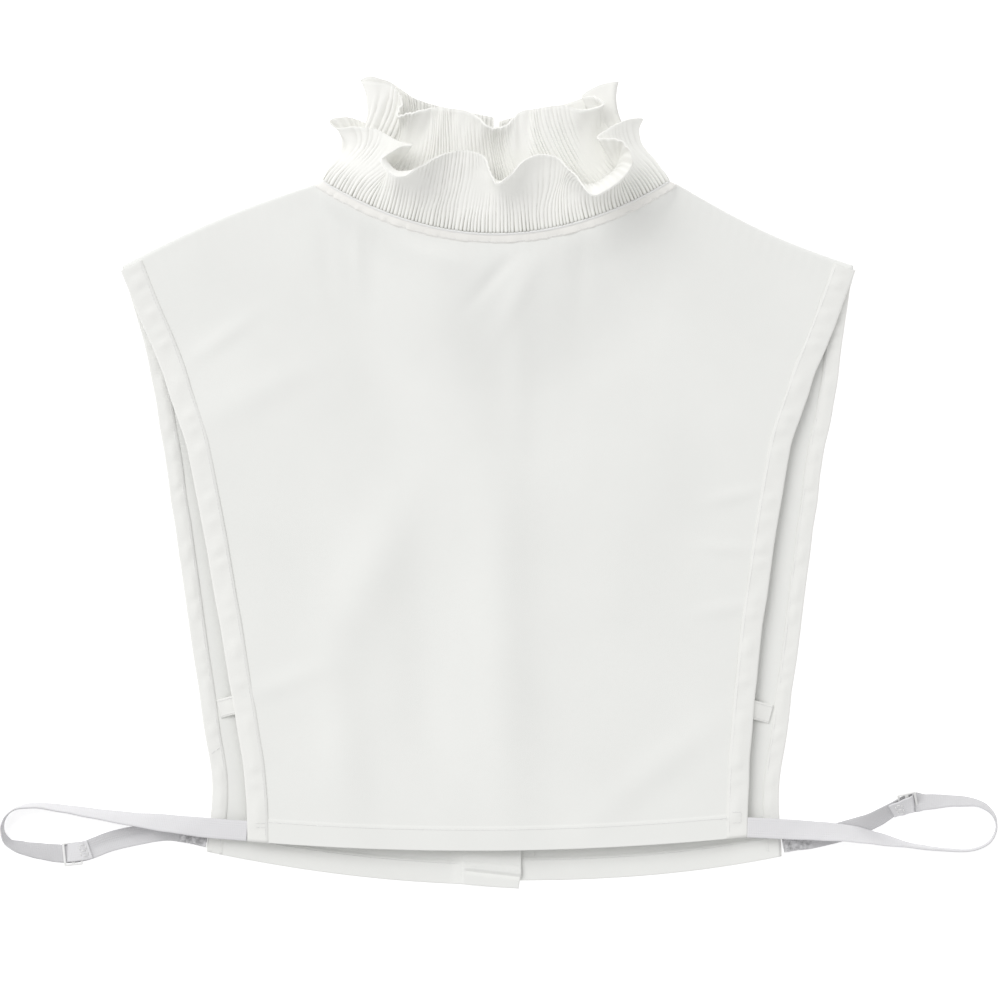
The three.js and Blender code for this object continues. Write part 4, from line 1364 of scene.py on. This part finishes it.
def make_ruffle(which):
    """One pleated tier: a curled surface, pushed in and out by its pleats."""
    size, tier = sizes(), TIERS[which]
    pleats, per_pleat = size["pleats"] * tier["coarse"] // 100, tier["per_pleat"]
    turns = neck_turns(-BAND["end"], BAND["end"], pleats * per_pleat + 1)
    share = np.linspace(0, 1, TIER_ROWS)
    grid = ruffle_surface(tier, FOLDS[which], turns, share)
    place = np.arange(len(turns)) / per_pleat
    phase, depth = pleat_field(tier, place, share, pleats)
    profile = pleat_profile(phase, tier["sharpness"])
    fade = mix(1.0, tier["edge_pleat"], ease(share / 0.6))[:, None]
    height = profile * size["pleat_depth"] * fade * depth
    ring = place[None, :] * RIPPLE_ROUND / pleats
    waver = ripples(ring, share[:, None] * 20, tier["seed"] + 6, PLEATS["waver"], 5, 16, 6)
    height = height + waver * ease((share - 0.55) / 0.45)[:, None]
    pushed = grid + surface_normals(grid) * height[..., None]
    thickness = mix(size["frill_cloth"], size["frill_hem"], ease((share - 0.955) / 0.03))[:, None]
    along, down = np.arange(len(turns))[None, :] * CLOTH_STEP, (share * tier["cloth"])[:, None]
    uvs = np.stack(np.broadcast_arrays(along, down), -1)
    # Painted shade for the grooves, darkest near the seam, kept in the groove mark for each face of the
    # cloth.
    near_seam = np.exp(-share / GROOVES["fade"])[:, None]
    dark = mix(GROOVES["dark"], GROOVES["dark_at_seam"], near_seam) * depth * tier["shade"]
    crest = profile * 0.5 + 0.5
    groove = [np.clip(low ** GROOVES["power"] * dark, 0, 1).ravel() for low in (1 - crest, crest)]
    piece = cloth_wall(f"ruffle_{which}", pushed, thickness, uvs, {"groove": np.concatenate(groove)})
    return finished(piece, "pleats", "pleated_cotton", f"frill_{which}")


def strap_frames(rows, count, start=0, end=None):
    """Places along a strap between two rows, with its width, face and running directions.

    The places are on a centripetal curve through the rows.
    """
    spots = points(rows["x"], rows["y"], rows["rest"])
    ends = np.concatenate([[2 * spots[0] - spots[1]], spots, [2 * spots[-1] - spots[-2]]])
    last = len(spots) - 1

    def place(part):
        spot = np.clip(part, 0, 1) * last
        index = np.minimum(spot.astype(int), last - 1)
        weight = (spot - index)[:, None]
        a, b, c, d = (ends[index + step] for step in range(4))
        before, width, after = (
            np.sqrt(np.linalg.norm(q - p, axis=-1, keepdims=True)) for p, q in ((a, b), (b, c), (c, d))
        )
        leave = ((b - a) / before - (c - a) / (before + width) + (c - b) / width) * width
        arrive = ((c - b) / width - (d - b) / (width + after) + (d - c) / after) * width
        return (
            b + leave * weight + (3 * (c - b) - 2 * leave - arrive) * weight ** 2
            + (2 * (b - c) + leave + arrive) * weight ** 3
        )

    parts = np.linspace(start / last, 1.0 if end is None else end / last, 4 * count)
    parts = evenly_spaced(parts, place(parts), count)
    middle = place(parts)
    along = unit(place(parts + 1e-4) - place(parts - 1e-4))
    spot = parts * last
    index = np.minimum(spot.astype(int), last - 1)
    roll = np.radians(mix(rows["roll"][index], rows["roll"][index + 1], ease(spot - index)))[:, None]
    level = unit(np.cross(UP, along))
    width_way = level * np.cos(roll) + np.cross(along, level) * np.sin(roll)
    return middle, width_way, np.cross(along, width_way), along


def elastic_outline(width, wall):
    """A band of elastic across: rounded edges and fine lengthwise wales."""
    half = width / 2
    across = np.linspace(-half + 0.3, half - 0.3, 25)
    wales = 0.06 * np.cos(across * 2 * math.pi / 1.25)
    top = np.stack([across[::-1], wall / 2 + wales[::-1]], -1)
    bottom = np.stack([across, -wall / 2 - wales], -1)
    return np.concatenate([[(half, 0.0)], top, [(-half, 0.0)], bottom])


def make_strap(side):
    """A strap of elastic, gathered up in wrinkles where its last stretch is sewn to the back hem."""
    middle, width_way, face_way, _ = strap_frames(STRAPS[side], 330)
    run = arc_length(middle)
    from_end = run[-1] - run
    gathered = (1 - ease((from_end - GATHER["reach"]) / GATHER["fade"]))[:, None]
    outline = elastic_outline(STRAP["width"], STRAP["wall"])
    outlines = np.repeat(outline[None], len(middle), 0)
    slant = run[:, None] * 2 * math.pi / GATHER["spacing"] + outlines[..., 0] * GATHER["slant"]
    wrinkles = 1.6 + np.sin(slant) + 0.6 * np.sin(slant * 0.61 + 1)
    outlines[..., 1] += GATHER["height"] * gathered * wrinkles * np.sign(face_way[:, 2:])
    reverse = (outline[:, 1] < 0) * (1 - GATHER["paler"] * gathered)
    # A painted highlight along one side of the left strap's reverse, carried by the reverse mark.
    if side == "left":
        lit = LIT_REVERSE
        between = ease((lit["far"] - from_end) / lit["far_fade"])
        between = between * ease((from_end - lit["near"]) / lit["near_fade"])
        on_side = ease((outlines[..., 0] + lit["side"]) / lit["side_fade"])
        reverse = reverse * (1 - lit["paler"] * between[:, None] * on_side)
    wobble = 0.12 * np.sin(run / 7.0) + 0.08 * np.sin(run / 3.1 + 1)
    narrowed = GATHER["narrower"] * (1 - ease((from_end - GATHER["narrow_reach"]) / GATHER["narrow_fade"]))
    outlines[..., 0] *= (1 + wobble * 0.06 - narrowed)[:, None]
    # The gathered mark also carries the painted shade of the crinkles in the material.
    marks = {"gathered": gathered, "reverse": reverse}
    piece = swept(f"elastic_{side}", middle, width_way, face_way, outlines, marks)
    return finished(piece, "elastic", "elastic", f"strap_{side}")


def make_return(side):
    """The strap's sewn end, which lies doubled on it from the slider to its bar tack."""
    middle, width_way, face_way, _ = strap_frames(STRAPS[side], 120, DOUBLED_FROM, DOUBLED_TO)
    upward = face_way * np.sign(face_way[:, 2:])
    run = arc_length(middle)
    over_slider = DOUBLED["over_slider"] * (1 - ease((run - DOUBLED["slider_end"]) / DOUBLED["step"]))
    rise = ease((run + DOUBLED["before"]) / DOUBLED["rise"])
    raise_by = (STRAP["wall"] + DOUBLED["gap"] + over_slider) * rise
    outline = elastic_outline(STRAP["width"] - DOUBLED["narrower"], STRAP["wall"])
    outlines = np.repeat(outline[None], len(middle), 0)
    outlines[..., 1] += raise_by[:, None]
    piece = swept(f"elastic_return_{side}", middle, width_way, upward, outlines)
    top = middle + upward * (raise_by + STRAP["wall"] / 2 + TACK["lift"])[:, None]
    first, last = (int(np.searchsorted(run, end)) for end in TACK["along"])
    for index in (first, last):
        line = top[index] + width_way[index] * np.linspace(-TACK["reach"], TACK["reach"], 12)[:, None]
        sew(f"tack_{side}", line, upward[index], 0)
    for offset in (-TACK["reach"], 0, TACK["reach"]):
        sew(f"tack_{side}", (top + width_way * offset)[first:last], upward[first:last], 0)
    return finished(piece, "elastic", "elastic")


def cut_box(name, lengths, radius):
    """A block with rounded upright edges, modelled at the origin."""
    block = added(bpy.ops.mesh.primitive_cube_add, name, size=1)
    block.scale = [length * MM for length in lengths]
    settled(block)

    def upright(edge):
        return abs(edge.verts[0].co.z - edge.verts[1].co.z) > 0.5 * lengths[2] * MM

    select_in_edit_mode(block, "EDGE", upright)
    bpy.ops.mesh.bevel(offset=radius * MM, segments=4, affect="EDGES")
    bpy.ops.object.mode_set(mode="OBJECT")
    return block


def make_slider(side):
    """A moulded two-slot adjuster: a rounded plate with its slots cut, over the strap."""
    around = (SLIDER_ROW - 0.01, SLIDER_ROW + 0.01)
    centre, _, face, way = (values[1] for values in strap_frames(STRAPS[side], 3, *around))
    face = face * np.sign(face[2])
    body = cut_box(f"adjuster_{side}", SLIDER["plate"], SLIDER["corner"])
    for offset in SLIDER["slots_at"]:
        cutter = cut_box("slot", SLIDER["slot"], SLIDER["slot_corner"])
        cutter.location = (offset * MM, 0, 0)
        cut_out(body, cutter)
    softened(body, SLIDER["soften"], SLIDER["soften_angle"])
    across = np.cross(face, way)
    outward = across * np.sign(across[1]) * SLIDER["outward"][side]
    lifted = centre + face * SLIDER["lift"] + outward
    turned = np.array([vertex.co for vertex in body.data.vertices]) @ np.stack([way, across, face])
    body.data.vertices.foreach_set("co", (turned + lifted * MM).astype(np.float32).ravel())
    body.data.update()
    return finished(body, "plastic", "slider_plastic", f"slider_{side}")


def make_button():
    """A sew-through button: a turned disc with a sunk middle and four holes."""
    low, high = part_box("nape_button")
    centre, radius = (low + high) / 2, (high.x - low.x) / 2
    cylinder = bpy.ops.mesh.primitive_cylinder_add
    button = added(
        cylinder, "button_nape", vertices=48, radius=radius, depth=high.z - low.z, location=centre
    )
    settled(button)
    select_in_edit_mode(button, "FACE", lambda face: len(face.verts) > 4)
    bpy.ops.mesh.inset(thickness=radius * BUTTON["rim"])
    bpy.ops.mesh.inset(thickness=radius * BUTTON["step"], depth=-BUTTON["sunk"] * MM)
    bpy.ops.object.mode_set(mode="OBJECT")
    for turn in np.radians((45, 135, 225, 315)):
        spot = centre + Vector((math.cos(turn), math.sin(turn), 0)) * radius * BUTTON["hole_circle"]
        cut_out(button, added(
            cylinder, "hole", vertices=16, radius=BUTTON["hole"] * MM, depth=6 * MM, location=spot
        ))
    softened(button, BUTTON["soften"], BUTTON["soften_angle"])
    return finished(button, "plastic", "button_plastic", "nape_button")


def make_tab(side):
    """A short folded tab from the back binding to the front bib's edge."""
    share = np.linspace(0, 1, 30)
    origins = points(
        *(mix(start, end, share) for start, end in zip(TABS[side]["back"], TABS[side]["front"])),
        mix(TAB["back_height"], TAB["front_height"], ease(share * 1.3)),
    )
    along = unit(np.gradient(origins, axis=0))
    across = unit(np.cross(UP, along))
    upward = np.cross(along, across)
    half, edge = TAB["width"] / 2, TAB["edge"]
    crown = np.linspace(half - 2 * edge, -half + 2 * edge, 6)
    outline = np.concatenate([
        rounded(-90, 90, (half - edge, 0), edge, 5),
        np.stack([crown, edge + TAB["crown"] * np.sin(np.pi * np.linspace(0, 1, 6))], -1),
        rounded(90, 270, (-half + edge, 0), edge, 5),
    ])
    piece = swept(f"tab_{side}", origins, across, upward, outline)
    for offset in (-half + SEAM_INSET["tab"], half - SEAM_INSET["tab"]):
        sew(f"tab_{side}", origins + across * offset, upward, 0.5)
    return finished(piece, "binding", "binding", f"side_tab_{side}")


PALETTE = {}


def palette():
    """The materials, made once."""
    if not PALETTE:
        chosen = colours()
        PALETTE.update(
            cotton=cotton("Off-white cotton", chosen["cotton"]),
            pleats=pleated("Pleated cotton", chosen["pleats"]),
            binding=cotton("Folded binding", chosen["binding"], pitch=0.00045, mottle=0.05),
            band=piped("Band cotton", chosen["band"], chosen["thread"]),
            elastic=ribbed_elastic("Strap elastic", chosen["elastic"]),
            plastic=moulded("White moulding", chosen["plastic"], 0.3),
            thread=sewing_thread("Sewing thread", chosen["thread"]),
            floor=floor_finish("Paper floor", chosen["floor"]),
        )
    return PALETTE


# Operators

class COLLAR_OT_bib(bpy.types.Operator):
    """Make the front bib and the two back halves"""

    bl_idname = "collar.bib"
    bl_label = "Bib"

    def execute(self, context):
        front = make_front()
        for half in SIDES:
            back = make_back(half)
        return {"FINISHED"}


class COLLAR_OT_bindings(bpy.types.Operator):
    """Make the folded bindings round the armhole edges"""

    bl_idname = "collar.bindings"
    bl_label = "Bindings"

    def execute(self, context):
        for layer in ("front", "back"):
            for side in SIDES:
                make_binding(layer, side)
        return {"FINISHED"}


class COLLAR_OT_band(bpy.types.Operator):
    """Make the stitched neck band"""

    bl_idname = "collar.band"
    bl_label = "Neck band"

    def execute(self, context):
        make_band()
        return {"FINISHED"}


class COLLAR_OT_ruffles(bpy.types.Operator):
    """Make the two pleated tiers"""

    bl_idname = "collar.ruffles"
    bl_label = "Ruffles"

    def execute(self, context):
        for which in ("outer", "inner"):
            ruffle = make_ruffle(which)
        return {"FINISHED"}


class COLLAR_OT_straps(bpy.types.Operator):
    """Make the elastic straps and their sewn ends"""

    bl_idname = "collar.straps"
    bl_label = "Straps"

    def execute(self, context):
        for side in SIDES:
            make_strap(side)
            make_return(side)
        return {"FINISHED"}


class COLLAR_OT_sliders(bpy.types.Operator):
    """Model the two strap adjusters"""

    bl_idname = "collar.sliders"
    bl_label = "Sliders"

    def execute(self, context):
        for side in SIDES:
            make_slider(side)
        return {"FINISHED"}


class COLLAR_OT_tabs(bpy.types.Operator):
    """Make the two side tabs"""

    bl_idname = "collar.tabs"
    bl_label = "Side tabs"

    def execute(self, context):
        for side in SIDES:
            make_tab(side)
        return {"FINISHED"}


class COLLAR_OT_button(bpy.types.Operator):
    """Model the button at the nape"""

    bl_idname = "collar.button"
    bl_label = "Button"

    def execute(self, context):
        make_button()
        return {"FINISHED"}


class COLLAR_OT_stitching(bpy.types.Operator):
    """Sew the seams that the other pieces have asked for"""

    bl_idname = "collar.stitching"
    bl_label = "Stitching"

    def execute(self, context):
        if not SEWN:
            raise RuntimeError("make the cloth pieces before their stitching")
        for mark in MARKS:
            sew("marks", line_on_top(*mark), UP, MARK["lift"])
        for seam in sorted({seam for seam, _, _ in SEWN}):
            stitch_piece(seam, [(line, normals) for found, line, normals in SEWN if found == seam])
        return {"FINISHED"}


class COLLAR_OT_stage(bpy.types.Operator):
    """Make the floor, the lights and the camera straight above"""

    bl_idname = "collar.stage"
    bl_label = "Stage"

    def execute(self, context):
        floor = added(bpy.ops.mesh.primitive_plane_add, "floor", size=FLOOR_SIZE, location=(0, 0, 0))
        floor.data.materials.append(palette()["floor"])
        world = bpy.data.worlds.new("studio")
        world.use_nodes = True
        sky = world.node_tree.nodes["Background"]
        sky.inputs["Color"].default_value = (1, 1, 1, 1)
        sky.inputs["Strength"].default_value = SKY_STRENGTH
        context.scene.world = world
        self.add_sun()
        self.add_camera(context.scene)
        context.scene.view_settings.view_transform = "Standard"
        return {"FINISHED"}

    def add_sun(self):
        light = bpy.data.lights.new("key_light", "SUN")
        light.energy = SUN["strength"]
        light.angle = math.radians(SUN["spread"])
        lamp = linked("key_light", light)
        lamp.location = SUN["place"]
        lamp.rotation_euler = Vector(SUN["place"]).to_track_quat("Z", "Y").to_euler()

    def add_camera(self, scene):
        lens = bpy.data.cameras.new("above")
        lens.lens = CAMERA["lens"]
        lens.sensor_width = CAMERA["sensor"]
        lens.clip_end = CAMERA["clip_end"]
        camera = linked("above", lens)
        distance = CAMERA["across"] * CAMERA["lens"] / CAMERA["sensor"]
        camera.location = (*CAMERA["middle"], distance)
        scene.camera = camera


class COLLAR_PT_panel(bpy.types.Panel):
    """Lists the collar's sizes, colours and pieces"""

    bl_idname = "COLLAR_PT_panel"
    bl_label = "Ruffled collar"
    bl_space_type = "VIEW_3D"
    bl_region_type = "UI"
    bl_category = "Collar"

    def draw(self, context):
        for settings in (context.scene.collar_sizes, context.scene.collar_colours):
            box = self.layout.box()
            for name in settings.__annotations__:
                box.prop(settings, name)
        for operator in OPERATORS:
            self.layout.operator(operator.bl_idname)


OPERATORS = (
    COLLAR_OT_bib,
    COLLAR_OT_bindings,
    COLLAR_OT_band,
    COLLAR_OT_ruffles,
    COLLAR_OT_straps,
    COLLAR_OT_sliders,
    COLLAR_OT_tabs,
    COLLAR_OT_button,
    COLLAR_OT_stitching,
    COLLAR_OT_stage,
)
CLASSES = (CollarSizes, CollarColours, *OPERATORS, COLLAR_PT_panel)


def register():
    for made in CLASSES:
        bpy.utils.register_class(made)
    bpy.types.Scene.collar_sizes = bpy.props.PointerProperty(type=CollarSizes)
    bpy.types.Scene.collar_colours = bpy.props.PointerProperty(type=CollarColours)


def unregister():
    del bpy.types.Scene.collar_colours
    del bpy.types.Scene.collar_sizes
    for made in reversed(CLASSES):
        bpy.utils.unregister_class(made)


def main():
    """Builds the collar and its stage."""
    register()
    bpy.ops.collar.bib()
    bpy.ops.collar.bindings()
    bpy.ops.collar.band()
    bpy.ops.collar.ruffles()
    bpy.ops.collar.straps()
    bpy.ops.collar.sliders()
    bpy.ops.collar.tabs()
    bpy.ops.collar.button()
    bpy.ops.collar.stitching()
    bpy.ops.collar.stage()


if __name__ == "__main__":
    main()
